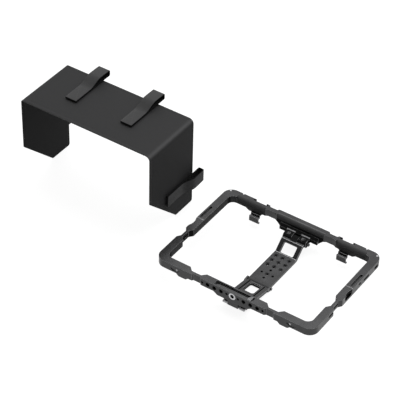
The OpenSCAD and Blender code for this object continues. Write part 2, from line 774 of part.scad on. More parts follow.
// Catch under the front block; the latch bracket's notch closes round it
catch_w = notch_w - 2 * catch_gap;
module rail_catch() {
  color(black) cage()
    difference() {
      translate([0, front_y + 5.4, 0]) along_x(catch_w) polygon([
        [-3.6, -front_drop - seat_gap], [3.6, -front_drop - seat_gap], [3.6, -11.4], [2, -13],
        [-2.6, -13], [-3.6, -12],
      ]);
      for (s = [-1, 1]) translate([s * 4, front_y + 5.4, -13]) {
        cylinder(d = m2[0], h = 12);
        translate([0, 0, -1]) cylinder(d = m2[1], h = m2[2] + 1.1);
      }
    }
}

module catch_screws() {
  color(steel) cage()
    for (s = [-1, 1]) translate([s * 4, front_y + 5.4, -12.92]) screw_up(m2, 12);
}

// Small screws in the rear corners' top
module corner_screws() {
  color(steel) cage()
    for (s = [-1, 1]) translate([s * (side_x - 5.6), rear_y - 4.6, rail_h - 1.38])
      difference() {
        cylinder(d = 2.56, h = 1.6);
        translate([0, 0, 1]) cylinder(d = 1.2, h = 1, $fn = 6);
      }
}

// Grub screws in the lens-shaped pockets
module lens_screws() {
  color(steel) cage()
    for (s = [-1, 1]) translate([s * (lens_x - 2), front_y + lens_deep, hole_z - 0.9])
      rotate([-90, 0, 0])
      difference() {
        cylinder(d = m25[0] - 2 * seat_gap, h = 5);
        translate([0, 0, -1]) cylinder(d = 1.3, h = 2.4, $fn = 6);
      }
}

// Side view of the arm: knuckle, flat plate, slope and crest
module arm_profile() {
  inset = plate_t * tan(slope_turn / 2);
  translate([pin_y, pin_z]) circle(r = small_knuckle_r);
  polygon([
    [pin_y, pin_z + small_knuckle_r], [pin_y + 3, -arm_drop], [bend_y, -arm_drop], [crest_y,
      -crest_drop],
    [hinge_y - ear_r - 0.6, -crest_drop], [hinge_y - ear_r - 0.6, -crest_drop - plate_t],
    [crest_y + inset, -crest_drop - plate_t], [bend_y + inset, -arm_drop - plate_t], [pin_y,
      -arm_drop - plate_t],
  ]);
}

module support_arm() {
  color(black) cage()
    difference() {
      union() {
        along_x(arm_w) arm_profile();
        along_x(knuckle_gap - 2 * side_gap) {
          translate([hinge_y, -hinge_drop]) circle(r = knuckle_r);
          polygon([
            [crest_y + 0.5, -crest_drop], [hinge_y, -hinge_drop + knuckle_r],
            [hinge_y, -hinge_drop - knuckle_r], [crest_y + 2, -crest_drop - plate_t],
          ]);
        }
      }
      // Window in the slope
      translate([0, bend_y, -arm_drop]) rotate([slope_turn, 0, 0])
        translate([0, slope_window_len / 2 + 0.9, -10])
          round_block(slope_window_w, slope_window_len, 20, 1.6);
      translate([0, -socket_front, -arm_drop - plate_t - 1]) {
        cylinder(d = hole_d, h = plate_t + 2);
        for (i = [-1:1], j = [-1:1])
          translate([i * grid_pitch, grid_y + j * grid_pitch, 0])
            cylinder(d = hole_d, h = plate_t + 2);
        for (a = [0:90:270])
          rotate([0, 0, a]) translate([small_ring_r, 0, 0])
            cylinder(d = small_hole_d, h = plate_t + 2);
      }
      translate([-arm_w, hinge_y, -hinge_drop]) rotate([0, 90, 0])
        cylinder(d = hinge_pin_d + 1.6, h = 2 * arm_w);
      translate([-arm_w, pin_y, pin_z]) rotate([0, 90, 0]) cylinder(d = bracket_pin_d, h = 2 * arm_w);
    }
}

// Bush in the arm's rear knuckle, which turns on the hinge pin
module arm_bush() {
  len = knuckle_gap - 2 * side_gap - 0.1;
  color([0.7, 0.55, 0.3]) cage()
    translate([-len / 2, hinge_y, -hinge_drop]) rotate([0, 90, 0]) difference() {
      cylinder(d = hinge_pin_d + 1.6 - 2 * seat_gap, h = len);
      translate([0, 0, -1]) cylinder(d = hinge_pin_d - seat_gap + 2 * pin_clear, h = len + 2);
    }
}

module bracket_pin() {
  len = arm_w + 2 * (side_gap + bracket_ear_t + side_gap);
  color(steel) cage()
    translate([-len / 2, pin_y, pin_z]) rotate([0, 90, 0]) {
      cylinder(d = bracket_pin_d - seat_gap, h = len);
      translate([0, 0, len]) cylinder(d = bracket_pin_d + 1, h = 0.8);
      translate([0, 0, -0.8]) cylinder(d = bracket_pin_d + 1, h = 0.8 + eps);
    }
}

// Latch bracket: tilted plate with a stepped window, two grooves, ears and a foot for the lips
module latch_bracket() {
  ear_x = arm_w / 2 + side_gap + bracket_ear_t / 2;
  color(black) cage()
    difference() {
      union() {
        along_x(bracket_w) polygon([
          [bracket_rear, bracket_top(bracket_rear)], [bracket_front, bracket_top(bracket_front)],
          [bracket_front, lip_z], [bracket_front + lip_foot, lip_z],
          [bracket_front + lip_foot + 2, bracket_top(bracket_front + lip_foot + 2) - bracket_t],
          [bracket_rear, bracket_top(bracket_rear) - bracket_t],
        ]);
        for (s = [-1, 1]) translate([s * ear_x, 0, 0]) along_x(bracket_ear_t) {
          translate([pin_y, pin_z]) circle(r = small_knuckle_r);
          translate([pin_y, pin_z + 1.3]) circle(r = small_knuckle_r);
          polygon([
            [pin_y + small_knuckle_r, pin_z], [pin_y + small_knuckle_r, pin_z + 1.3], [pin_y,
              pin_z + 1.3 + small_knuckle_r],
            [bracket_rear - 4, bracket_top(bracket_rear - 4)], [bracket_rear - 4,
              bracket_top(bracket_rear - 4) - bracket_t + 0.3],
            [pin_y, pin_z - small_knuckle_r],
          ]);
        }
      }
      translate([0, pin_y - window_back, bracket_top(pin_y - window_back)])
        rotate([-bracket_turn, 0, 0]) {
        translate([0, -window_len / 2, -9]) round_block(window_w, window_len, 18, 2.4);
        translate([0, -window_len / 2, -0.9])
          round_block(window_w + 2 * window_step, window_len + 2 * window_step, 4, 2.4 + window_step);
        for (s = [-1, 1]) translate([s * 10.4, -window_len / 2 - 1.5, -1.8])
          rotate([0, 0, 90]) slot_x(window_len + 9, groove_w, 4);
      }
      // Notch round the catch, and the seats of the lips and their screws
      translate([-notch_w / 2, bracket_front - 1, -30]) cube([notch_w, 4.8, 40]);
      for (s = [-1, 1]) {
        translate([s * lip_x - lip_w / 2 - seat_gap, bracket_front - 1, lip_z - 1])
          cube([lip_w + 2 * seat_gap, 4 + seat_gap, lip_t + 1 + seat_gap]);
        translate([s * lip_x, bracket_front + 1.2, lip_z]) cylinder(d = m2[0], h = 5);
      }
      translate([-bracket_w, pin_y, pin_z]) rotate([0, 90, 0])
        cylinder(d = bracket_pin_d - seat_gap + 2 * pin_clear, h = 2 * bracket_w);
    }
}

// Bright lips that stand forward under the front rail
lip_w = (bracket_w - notch_w) / 2 - 0.8;
lip_x = notch_w / 2 + lip_w / 2;
module latch_lips() {
  color(steel) cage()
    for (s = [-1, 1])
      difference() {
        translate([s * lip_x - lip_w / 2, front_y + lip_back, lip_z])
          cube([lip_w, lip_len + 3, lip_t]);
        translate([s * lip_x, bracket_front + 1.2, lip_z]) screw_hole(m2, 5, m2[2] + 0.1);
      }
}

module lip_screws() {
  color(steel) cage()
    for (s = [-1, 1]) translate([s * lip_x, bracket_front + 1.2, lip_z + 0.1]) screw_up(m2, 4.4);
}

// Outline of a hood side panel: depth from the rear edge along X, height along Y
function unit(v) = v / norm(v);
function arc_points(a, b, c, r) =
  let (u = unit(a - b), v = unit(c - b), half = acos(u * v) / 2,
       m = b + unit(u + v) * r / sin(half), p = b + u * r / tan(half), q = b + v * r / tan(half))
  [for (i = [0:4]) let (w = unit((p - m) * (4 - i) + (q - m) * i)) m + w * r];
module rounded_polygon(pts, r) {
  n = len(pts);
  polygon([for (i = [0:n - 1]) each arc_points(pts[(i + n - 1) % n], pts[i], pts[(i + 1) % n], r)]);
}

module hood_place() {
  translate([hood_x, hood_rear + socket_front, 0]) children();
}

// Section of the hood from the front, standing on its feet
module hood_section(w, h, left_r, right_r) {
  translate([-w / 2, -1]) square([w / 2, h + 1 - left_r]);
  translate([0, -1]) square([w / 2, h + 1 - right_r]);
  translate([-w / 2 + left_r, -1]) square([w - left_r - right_r, h + 1]);
  translate([-w / 2 + left_r, h - left_r]) circle(r = left_r);
  translate([w / 2 - right_r, h - right_r]) circle(r = right_r);
}

module hood_shell() {
  color(cloth) hood_place()
    intersection() {
      translate([hood_w / 2, 1, 0]) rotate([90, 0, 0]) difference() {
        linear_extrude(hood_d + 2) hood_section(hood_w, hood_h, hood_left_r, hood_bend_r);
        translate([0, 0, -1]) linear_extrude(hood_d + 4)
          hood_section(hood_w - 2 * hood_t, hood_h - hood_t, hood_left_r - hood_t,
            hood_bend_r - hood_t);
      }
      translate([-1, 0, 0]) rotate([90, 0, 90]) mirror([1, 0, 0]) linear_extrude(hood_w + 2)
        rounded_polygon(
          [[0, 0], [hood_foot, 0], [hood_d, hood_h - hood_front_h], [hood_d, hood_h + 20], [0,
            hood_h + 20]],
          hood_corner_r
        );
    }
}

// Side view of a strap on z = 0: a closed loop whose layers lie on each other in front
strap_bend = -strap_start + strap_flat;
function strap_lift(y) =
  y < strap_bend + strap_rise
  ? strap_arch * (1 - cos(180 * (y - strap_bend) / strap_rise)) / 2
  : strap_arch - strap_droop * pow((y - strap_bend - strap_rise) / (strap_past - strap_bend -
    strap_rise), 2);
// Upper side of the upper layer (t = 0) or its underside, from front to rear
function strap_line(first, last, t) =
  [for (i = [0:12]) let (y = first + (last - first) * i / 12) [y, 2 * strap_t - t + strap_lift(y)]];
// Rear end of the loop with the radius r, from the top down
function strap_end(r) =
  let (x = strap_past - strap_end_r, top = 2 * strap_t + strap_lift(x) - strap_end_r,
    low = strap_end_r)
  [
    for (a = [67.5:-22.5:0]) [x + r * cos(a), top + r * sin(a)],
    for (a = [0:-22.5:-90]) [x + r * cos(a), low + r * sin(a)],
  ];
module strap_profile() {
  last = strap_past - strap_end_r;
  difference() {
    polygon(concat([[-strap_start, 0], [-strap_start, 2 * strap_t]], strap_line(strap_bend, last, 0),
      strap_end(strap_end_r)));
    polygon(concat(
      [[strap_bend + 2.5, strap_t]], strap_line(strap_bend + 2.5, last, strap_t),
        strap_end(strap_end_r - strap_t)
    ));
  }
}

module strap_seat(which) {
  hood_place()
    if (which == 0) translate([strap_x1, 0, hood_h]) children();
    else if (which == 1) translate([strap_x2, 0, hood_h]) children();
    else if (which == 2) translate([hood_w, 0, strap_z]) rotate([0, 90, 0]) children();
    else translate([0, 0, strap_z]) rotate([0, -90, 0]) children();
}

module strap(which) {
  color(cloth) strap_seat(which) translate([0, 0, patch_t + 2 * seat_gap]) along_x(strap_w)
    strap_profile();
}

module strap_top_left() {
  strap(0);
}

module strap_top_right() {
  strap(1);
}

module strap_right() {
  strap(2);
}

module strap_left() {
  strap(3);
}

// Tape patches between the hood and each strap's flat end
module strap_patches() {
  color(cloth)
    for (k = [0:3]) strap_seat(k)
      translate([-strap_w / 2 + 0.5, -strap_start + 0.5, seat_gap])
        cube([strap_w - 1, strap_flat - 1, patch_t]);
}

rear_frame();
front_frame();
frame_screws();
socket_insert();
side_pads();
end_pads();
cable_hook_left();
cable_hook_right();
hook_screws();
hinge_block();
hinge_block_screws();
hinge_pin();
pin_lock_screws();
rail_catch();
catch_screws();
corner_screws();
lens_screws();
lock_bar();
lock_tab();
support_arm();
arm_bush();
bracket_pin();
latch_bracket();
latch_lips();
lip_screws();
hood_shell();
strap_top_left();
strap_top_right();
strap_right();
strap_left();
strap_patches();
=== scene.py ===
import bpy, bmesh, math
import numpy as np
from mathutils import Matrix, Vector


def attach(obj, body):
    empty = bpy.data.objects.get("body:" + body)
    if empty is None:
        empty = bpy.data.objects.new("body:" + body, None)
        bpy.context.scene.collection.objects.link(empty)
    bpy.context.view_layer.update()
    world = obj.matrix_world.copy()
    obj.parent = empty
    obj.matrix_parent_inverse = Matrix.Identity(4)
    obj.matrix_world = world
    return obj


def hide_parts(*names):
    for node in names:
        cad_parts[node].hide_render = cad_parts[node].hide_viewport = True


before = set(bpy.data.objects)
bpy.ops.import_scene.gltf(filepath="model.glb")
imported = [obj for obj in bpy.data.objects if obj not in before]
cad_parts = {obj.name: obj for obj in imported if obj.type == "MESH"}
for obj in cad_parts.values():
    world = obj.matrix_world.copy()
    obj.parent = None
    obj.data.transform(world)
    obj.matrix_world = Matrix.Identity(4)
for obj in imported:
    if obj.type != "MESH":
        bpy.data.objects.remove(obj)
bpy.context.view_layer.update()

mm = 0.001
ringToRow = np.array([0.0, 2.4, 20.5])  # the ring's middle in the row frame, mm
print("frame loaded:", len(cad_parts), "nodes")


def newObject(name, data):
    o = bpy.data.objects.new(name, data)
    bpy.context.collection.objects.link(o)
    return o


# Shader helpers

def newGroup(name, inputs, outputs):
    # inputs: names with default values, outputs: names; every socket is a float
    g = bpy.data.node_groups.new(name, "ShaderNodeTree")
    for label, value in inputs.items():
        s = g.interface.new_socket(label, in_out="INPUT", socket_type="NodeSocketFloat")
        s.default_value = value
    for label in outputs:
        g.interface.new_socket(label, in_out="OUTPUT", socket_type="NodeSocketFloat")
    return g, g.nodes.new("NodeGroupInput"), g.nodes.new("NodeGroupOutput")


def setInputs(n, values):
    # Each value is a constant or another node's output
    for key, value in values.items():
        if isinstance(value, bpy.types.NodeSocket):
            n.id_data.links.new(value, n.inputs[key])
        else:
            n.inputs[key].default_value = value


def addNode(tree, kind, inputs={}, **values):
    n = tree.nodes.new("ShaderNode" + kind)
    for key, value in values.items():
        setattr(n, key, value)
    setInputs(n, inputs)
    return n


def mathNode(tree, op, *values, clamp=False):
    return addNode(tree, "Math", dict(enumerate(values)), operation=op, use_clamp=clamp).outputs[0]


def times(tree, a, b, clamp=False):
    return mathNode(tree, "MULTIPLY", a, b, clamp=clamp)


def plus(tree, a, b):
    return mathNode(tree, "ADD", a, b)


def minus(tree, a, b):
    return mathNode(tree, "SUBTRACT", a, b)


def most(tree, a, b):
    return mathNode(tree, "MAXIMUM", a, b)


def weighted(tree, parts, shares):
    a, b = (times(tree, part, share) for part, share in zip(parts, shares))
    return plus(tree, a, b)


def ramp(tree, fac, stops):
    n = addNode(tree, "ValToRGB", {0: fac})
    el = n.color_ramp.elements
    el[0].position, el[0].color = stops[0][0], (*stops[0][1], 1)
    el[1].position, el[1].color = stops[-1][0], (*stops[-1][1], 1)
    for p, c in stops[1:-1]:
        e = el.new(p)
        e.color = (*c, 1)
    return n.outputs[0]


def mixed(tree, share, a, b):
    # Colour a with a share of the constant colour b
    return addNode(tree, "Mix", {"Factor": share, "A": a, "B": (*b, 1)}, data_type="RGBA").outputs["Result"]


pattern = {
    "blastDetail": (2.0, 5.0),  # levels of the blasted skin's fine and cloudy noise
    "blastShares": (0.45, 0.55),  # their shares in its tone
    "scuffDetail": 8.0,
    "scuffRough": 0.65,
    "scratchSize": (1.0, 9.0, 5.0),  # scale along the axes: long scratches
    "scratchTurn": (0.3, 0.2, 0.7),  # radians
    "scratchFiner": 3.0,  # scale against that of the scuffs
    "wearShares": (0.7, 0.3),  # scuffs and scratches
    "wearFrom": 0.47,
    "wearGain": 9.0,
    "wobbleScale": 900.0,  # noise that loosens the weave
    "weaveHigh": 0.4,
    "weaveShares": (0.5, 0.5),  # height and noise in its tone
    "tangleDetail": 3.0,
    "tangleBend": 1.6,
    "cellScale": 0.55,  # against that of the tangle
    "pileShares": (0.7, 0.6),  # tangle and cells
    "toneEnds": (0.3, 0.7),  # tones of a finish's dark and light colour
    "roughVary": 0.08,  # how far roughness follows the tone
    "wornPolish": 0.1,  # how much less rough a worn spot is
    "sheenRough": 0.6,
}


def makeBlastGroup(v):
    # Bead-blasted skin in Object space: height = fine noise, tone = fine and cloudy noise in their shares
    g, gi, go = newGroup("beadBlast", {"Grain": 2600.0, "Cloud": 55.0}, ("Height", "Tone"))
    place = addNode(g, "TexCoord").outputs["Object"]
    noises = []
    for key, detail in zip(("Grain", "Cloud"), v["blastDetail"]):
        n = addNode(g, "TexNoise", {"Detail": detail, "Vector": place, "Scale": gi.outputs[key]})
        noises.append(n.outputs["Fac"])
    setInputs(go, {"Height": noises[0], "Tone": weighted(g, noises, v["blastShares"])})
    return g


def makeWearGroup(v):
    # Handling wear in Object space: mask = amount * gain * (scuffs and scratches in their shares - from),
    # kept between 0 and amount
    g, gi, go = newGroup("handlingWear", {"Scale": 40.0, "Amount": 0.5}, ("Mask",))
    place, scale = addNode(g, "TexCoord").outputs["Object"], gi.outputs["Scale"]
    scuff = addNode(g, "TexNoise", {"Detail": v["scuffDetail"], "Roughness": v["scuffRough"],
                                    "Vector": place, "Scale": scale})
    stretch = addNode(g, "Mapping", {"Scale": v["scratchSize"], "Rotation": v["scratchTurn"],
                                     "Vector": place})
    finer = times(g, scale, v["scratchFiner"])
    scratch = addNode(g, "TexNoise", {"Vector": stretch.outputs[0], "Scale": finer})
    both = weighted(g, (scuff.outputs["Fac"], scratch.outputs["Fac"]), v["wearShares"])
    cut = times(g, minus(g, both, v["wearFrom"]), v["wearGain"], clamp=True)
    setInputs(go, {"Mask": times(g, cut, gi.outputs["Amount"])})
    return g


def makeWeaveGroup(v):
    # Woven cloth on the piece's own UV in metres: height = 0.5 + high * sine(along u) * sine(along v), both
    # shifted by a loose noise; tone = height and noise in their shares
    g, gi, go = newGroup("wovenCloth", {"Pitch": 0.0005, "Loose": 0.3}, ("Height", "Tone"))
    uv = addNode(g, "TexCoord").outputs["UV"]
    axes = addNode(g, "SeparateXYZ", {0: uv})
    wobble = addNode(g, "TexNoise", {"Scale": v["wobbleScale"], "Vector": uv}).outputs["Fac"]
    shift = times(g, wobble, gi.outputs["Loose"])
    waves = []
    for axis in (0, 1):
        turns = mathNode(g, "DIVIDE", axes.outputs[axis], gi.outputs["Pitch"])
        waves.append(mathNode(g, "SINE", times(g, plus(g, turns, shift), 2 * math.pi)))
    height = plus(g, times(g, times(g, *waves), v["weaveHigh"]), 0.5)
    setInputs(go, {"Height": height, "Tone": weighted(g, (height, wobble), v["weaveShares"])})
    return g


def makeLoopGroup(v):
    # Loop pile on the UV: height = tone = tangled noise and distance to a cell's edge, in their shares
    g, gi, go = newGroup("loopPile", {"Scale": 1500.0}, ("Height", "Tone"))
    uv, scale = addNode(g, "TexCoord").outputs["UV"], gi.outputs["Scale"]
    tangle = addNode(g, "TexNoise", {"Detail": v["tangleDetail"], "Distortion": v["tangleBend"],
                                     "Vector": uv, "Scale": scale})
    cells = addNode(g, "TexVoronoi", {"Vector": uv, "Scale": times(g, scale, v["cellScale"])},
                    feature="DISTANCE_TO_EDGE")
    pile = weighted(g, (tangle.outputs["Fac"], cells.outputs["Distance"]), v["pileShares"])
    setInputs(go, {"Height": pile, "Tone": pile})
    return g


blastGroup = makeBlastGroup(pattern)
wearGroup = makeWearGroup(pattern)
weaveGroup = makeWeaveGroup(pattern)
loopGroup = makeLoopGroup(pattern)


# Textures: each gives two functions, which place its tone and its height in a material's tree

def fromGroup(group, output, **values):
    return lambda t: addNode(t, "Group", values, node_tree=group).outputs[output]


def blasted(grain=2600.0, cloud=55.0):
    tone = fromGroup(blastGroup, "Tone", Grain=grain, Cloud=cloud)
    return tone, fromGroup(blastGroup, "Height", Grain=grain)


def blastedHighlightBehind(y, soft=0.0015, least=0.45, share=0.35):
    # Painted highlight: blasted skin whose tone is least + share * tone behind the depth y in metres, and 0
    # in front of it, so that only what lies behind y is light
    skin, height = blasted(1800.0, 160.0)

    def tone(t):
        place = addNode(t, "SeparateXYZ", {0: addNode(t, "TexCoord").outputs["Object"]})
        behind = times(t, minus(t, place.outputs["Y"], y), 1 / soft, clamp=True)
        return times(t, plus(t, times(t, skin(t), share), least), behind)
    return tone, height


def woven(pitch, loose=0.3):
    tone = fromGroup(weaveGroup, "Tone", Pitch=pitch, Loose=loose)
    return tone, fromGroup(weaveGroup, "Height", Pitch=pitch)


def looped(scale):
    return fromGroup(loopGroup, "Tone", Scale=scale), fromGroup(loopGroup, "Height", Scale=scale)


# Wear and painted highlight: each gives a function that places a mask

def rubbed(scale, amount):
    return fromGroup(wearGroup, "Mask", Scale=scale, Amount=amount)


def bendHighlightMask(amount):
    # Painted highlight: the piece's own bend attribute, 1 in the middle of a bend
    return lambda t: times(t, addNode(t, "Attribute", attribute_name="bendHighlight").outputs["Fac"], amount)


def colourOf(v):
    # A single number is a grey with a hint of blue
    return v if isinstance(v, tuple) else (v, v, v * 1.02)


def newFinish(name, dark, light, texture, rough, bump, depth, metallic=0.0, sheen=0.0, specular=0.5,
              wearAndHighlight=None, wornAndHighlightColour=None):
    # The tone runs the colour from dark to light and varies the roughness, the height goes through Bump with
    # its depth in mm, and the wear mask, which on the hood is a painted highlight along the bends, mixes in
    # the worn colour and polishes
    v = pattern
    m = bpy.data.materials.new(name)
    m.use_nodes = True
    t = m.node_tree
    tone, height = (place(t) for place in texture)
    colour = ramp(t, tone, list(zip(v["toneEnds"], (colourOf(dark), colourOf(light)))))
    roughness = plus(t, times(t, tone, v["roughVary"]), rough - v["roughVary"] / 2)
    if wearAndHighlight:
        mask = wearAndHighlight(t)
        colour = mixed(t, mask, colour, colourOf(wornAndHighlightColour))
        roughness = minus(t, roughness, times(t, mask, v["wornPolish"]))
    normal = addNode(t, "Bump", {"Strength": bump, "Distance": depth * mm, "Height": height}).outputs[0]
    setInputs(t.nodes["Principled BSDF"], {
        "Metallic": metallic, "Specular IOR Level": specular, "Sheen Weight": sheen,
        "Sheen Roughness": v["sheenRough"], "Base Color": colour, "Roughness": roughness, "Normal": normal})
    return m


finish = {  # material, dark and light colour, texture, roughness, bump's strength and depth, rest by name
    "anodised": newFinish("blackAnodised", 0.046, 0.072, blasted(), 0.26, 0.25, 0.04,
        metallic=0.85, wearAndHighlight=rubbed(45.0, 0.25), wornAndHighlightColour=0.09),
    "edge": newFinish("rubbedEdge", 0.1, 0.17, blasted(1800.0, 160.0), 0.34, 0.2, 0.03,
        metallic=0.75, wearAndHighlight=rubbed(120.0, 0.5), wornAndHighlightColour=0.3),
    "brightEdge": newFinish("bareEdge", 0.26, 0.42, blasted(1800.0, 160.0), 0.3, 0.2, 0.03,
        metallic=0.8, wearAndHighlight=rubbed(60.0, 0.15), wornAndHighlightColour=0.5),
    # The arm's edges are a painted highlight: light behind the crest, dark in front of it
    "paintedCrestHighlight": newFinish("paintedCrestHighlight", 0.07, 0.42, blastedHighlightBehind(0.0375), 0.3, 0.2, 0.03, metallic=0.8),
    # Painted shade: a dull dark copy of the anodised finish for faces that turn from the light, on the rear
    # wall and the arm's front end
    "paintedSoftShade": newFinish("paintedSoftShade", 0.05, 0.066, blasted(), 0.65, 0.25, 0.04, specular=0.3),
    # Painted shade: a dull grey for the shaded inside of the arm's bores
    "paintedBoreShade": newFinish("paintedBoreShade", 0.1, 0.13, blasted(), 0.65, 0.25, 0.04, specular=0.3),
    # Painted shade: a near-black dull finish put where deep shade falls, in bores, countersinks, grooves,
    # pockets, ledges and inner walls, and over the hinge block
    "paintedDeepShade": newFinish("paintedDeepShade", 0.008, 0.014, blasted(), 0.7, 0.25, 0.04, specular=0.08),
    # Painted highlight: a pale finish for the seam's sloped faces and the ledge over the hinge's ears, where
    # light glints
    "seam": newFinish("paintedSeamHighlight", 0.5, 0.7, blasted(1800.0, 160.0), 0.5, 0.15, 0.03, metallic=0.3),
    "steel": newFinish("turnedSteel", 0.5, 0.66, blasted(1500.0, 200.0), 0.27, 0.12, 0.03, metallic=1.0),
    "blackSteel": newFinish("blackenedSteel", 0.045, 0.08, blasted(1500.0, 150.0), 0.34, 0.15, 0.03,
        metallic=0.4, wearAndHighlight=rubbed(150.0, 0.35), wornAndHighlightColour=0.2),
    "dullAluminium": newFinish("dullAluminium", 0.1, 0.16, blasted(1400.0, 120.0), 0.42, 0.2, 0.04,
        metallic=0.8, wearAndHighlight=rubbed(90.0, 0.3), wornAndHighlightColour=0.36),
    "bareAluminium": newFinish("machinedAluminium", 0.36, 0.5, blasted(1400.0, 120.0), 0.36, 0.2, 0.04,
        metallic=0.85, wearAndHighlight=rubbed(90.0, 0.3), wornAndHighlightColour=0.62),
    "bronze": newFinish("plainBronze", (0.36, 0.24, 0.12), (0.5, 0.35, 0.18), blasted(900.0, 90.0),
        0.4, 0.2, 0.03, metallic=1.0),
    "silicone": newFinish("mattSilicone", 0.014, 0.024, blasted(3200.0, 70.0), 0.7, 0.2, 0.05,
        specular=0.35),
    # The hood's skin is lighter along its bends: a painted highlight through the worn colour
    "hoodSkin": newFinish("coatedCloth", 0.035, 0.049, woven(0.00055), 0.62, 0.22, 0.06,
        specular=0.08, wearAndHighlight=bendHighlightMask(0.85), wornAndHighlightColour=0.115),
    "hoodLining": newFinish("shortPileLining", 0.009, 0.015, looped(1300.0), 0.85, 0.4, 0.12, specular=0.3),
    "hoodEdge": newFinish("pressedEdge", 0.03, 0.045, woven(0.0004, 0.5), 0.55, 0.2, 0.05, sheen=0.05),
    "loopTape": newFinish("loopTape", 0.032, 0.06, looped(1500.0), 0.85, 0.5, 0.18,
        sheen=0.22, specular=0.25),
    "tapeBack": newFinish("wovenTapeBack", 0.007, 0.012, woven(0.0006), 0.85, 0.4, 0.1, specular=0.15),
    "thread": newFinish("sewingThread", 0.03, 0.07, blasted(5000.0, 900.0), 0.6, 0.3, 0.05, sheen=0.2),
}
print("finishes made:", len(finish))


# Milled pieces: a merged copy of the CAD node with small rounded edges

bores = {
    "large": 2.55,  # mm, radius of the threaded bores
    "armSmall": 1.3,
    "armRing": 7.75,  # from the lone socket to the small holes
    "armTop": 4.0,
    "gridY": 25.1,
    "gridPitch": 9.4,
    "railSmall": 1.5,
    "largeX": (15.7, 25.05, 34.4),
    "smallX": (7.8, 42.0),
    "frontY": -77.3,
    "rowZ": 25.6,
    "mouth": (0.35, 0.12),  # width and depth of every bore's countersink
    "rimLevel": 0.01,  # a rim's points are this near to the mouth's plane
    "rimRound": 0.03,  # and this near to the bore's radius
    "wallTilt": 0.1,  # a wall's normal has a smaller share along the bore
    "coneTilt": (0.3, 0.99),  # and a cone's normal a share between these
}
armBores = [(0.0, 0.0)] + [(i * bores["gridPitch"], bores["gridY"] + j * bores["gridPitch"])
                           for i in (-1, 0, 1) for j in (-1, 0, 1)]
railBores = [side * x for x in bores["largeX"] for side in (-1, 1)]


def boreMouths(node, v):
    # Mouths of a node's bores as (place, direction out, radius), in mm
    mouths = []
    if node == "support_arm":
        ring = v["armRing"]
        small = [(side * ring * i, side * ring * (1 - i)) for i in (0, 1) for side in (-1, 1)]
        for radius, places in ((v["large"], armBores), (v["armSmall"], small)):
            mouths += [((x, y, v["armTop"]), (0, 0, 1), radius) for x, y in places]
    if node == "front_frame":
        small = [side * x for x in v["smallX"] for side in (-1, 1)]
        for radius, places in ((v["large"], railBores), (v["railSmall"], small)):
            mouths += [((x, v["frontY"], v["rowZ"]), (0, -1, 0), radius) for x in places]
    return mouths


def sliceFaces(bm, chosen, at, along):
    # Cuts the chosen faces along a plane
    geom = chosen + [e for f in chosen for e in f.edges] + [q for f in chosen for q in f.verts]
    bmesh.ops.bisect_plane(bm, geom=list(dict.fromkeys(geom)), plane_co=at, plane_no=along)


def countersink(bm, mouths, v):
    # Each bore's wall is cut at the depth, then its rim moves outwards by the width: a shallow cone
    width, depth = v["mouth"]
    rims = []
    for at, out, radius in mouths:
        at, out = Vector(at) * mm, Vector(out)
        rim = [q for q in bm.verts if abs((q.co - at).dot(out)) < v["rimLevel"] * mm
               and abs((q.co - at).length - radius * mm) < v["rimRound"] * mm]
        wall = [f for q in rim for f in q.link_faces if abs(f.normal.dot(out)) < v["wallTilt"]]
        sliceFaces(bm, list(dict.fromkeys(wall)), at - out * depth * mm, out)
        for q in rim:
            q.co += (q.co - at).normalized() * width * mm
        rims += [(q, out) for q in rim]
    bm.normal_update()
    low, high = v["coneTilt"]
    cones = {f for q, out in rims for f in q.link_faces if low < abs(f.normal.dot(out)) < high}
    return {q for q, out in rims}, cones


# Slots of every milled piece: its face finish, its edge finish, then these three: a painted highlight, a
# painted soft shade and a painted deep shade
extraFinishes = ("seam", "paintedSoftShade", "paintedDeepShade")
faceSlot, edgeSlot, highlightSlot, softShadeSlot, deepShadeSlot = range(5)

regions = {  # mm in the row frame, and shares of a normal
    "level": 0.5,  # a normal with a larger upward share is a level face's, else a wall's
    "seam": 11.7,  # the ring's halves meet here in a groove
    "seamHalf": 0.5,
    "seamTilt": (0.5, 0.9),
    "rearWall": (68.0, 76.8),  # the rear rail's inner wall, with its ledge and rounding, painted in shades
    "facesIn": -0.02,
    "ledgeTop": 22.3,
    "waist": (33.5, 50.5),
    "crown": (0.05, 0.955),  # the rear block's rounding is painted deep shade where its normal's upward share is under the first, and stays anodised over the second
    "ledgeHighlightX": (4.3, 16.3),  # painted highlight on the ledge over the hinge's ears
    "ledgeHighlightY": (68.0, 69.5),
    "ledgeHighlightCutHalf": 27.5,  # the faces that its outline cuts
    "ledgeHighlightCutY": (68.0, 71.0),
    "linerX": (93.0, 105.0),  # inner walls of the short rails, where the liners lie; painted deep shade
    "linerTilt": 0.3,
    "linerFront": -64.0,
    # channelX and pocketX bound the channel's walls and the pockets that are painted deep shade
    "channelX": (104.5, 110.5),
    "channelLow": 28.0,
    "pocketX": (103.7, 109.7),
    "pocketY": (-62.0, 70.3),
    "pocketZ": (21.4, 28.2),
    "sideWaist": (-32.1, -11.9),
    "bedRear": -66.0,  # the lock bar's bed and channel in the front rail
    "bedHalf": 27.0,
    "bedZ": (28.4, 30.0),
    "bedDark": 24.4,  # the bed is painted black as shade up to the lock's tab
    "grooveX": (9.4, 11.4),  # the latch bracket's two grooves
    "stepHalf": 8.1,  # the step round its window
    "stepY": (-46.0, -22.0),
    "stepFlat": 0.9,
    "stepHigh": 0.45,  # top of the step over the bracket's plate
    "plateRise": 0.172,
    "plateY": (-14.0, 41.0),  # the arm's plate with its bores; its front end is before it
    "plateHalf": 13.6,
    "plateTilt": 0.35,
    "knuckle": 56.6,
    "knuckleEdge": 58.2,
}


def within(value, span, unit=1.0):
    return span[0] * unit < value < span[1] * unit


def inBed(c, v):
    return c.y < v["bedRear"] and abs(c.x) < v["bedHalf"] and within(c.z, v["bedZ"])


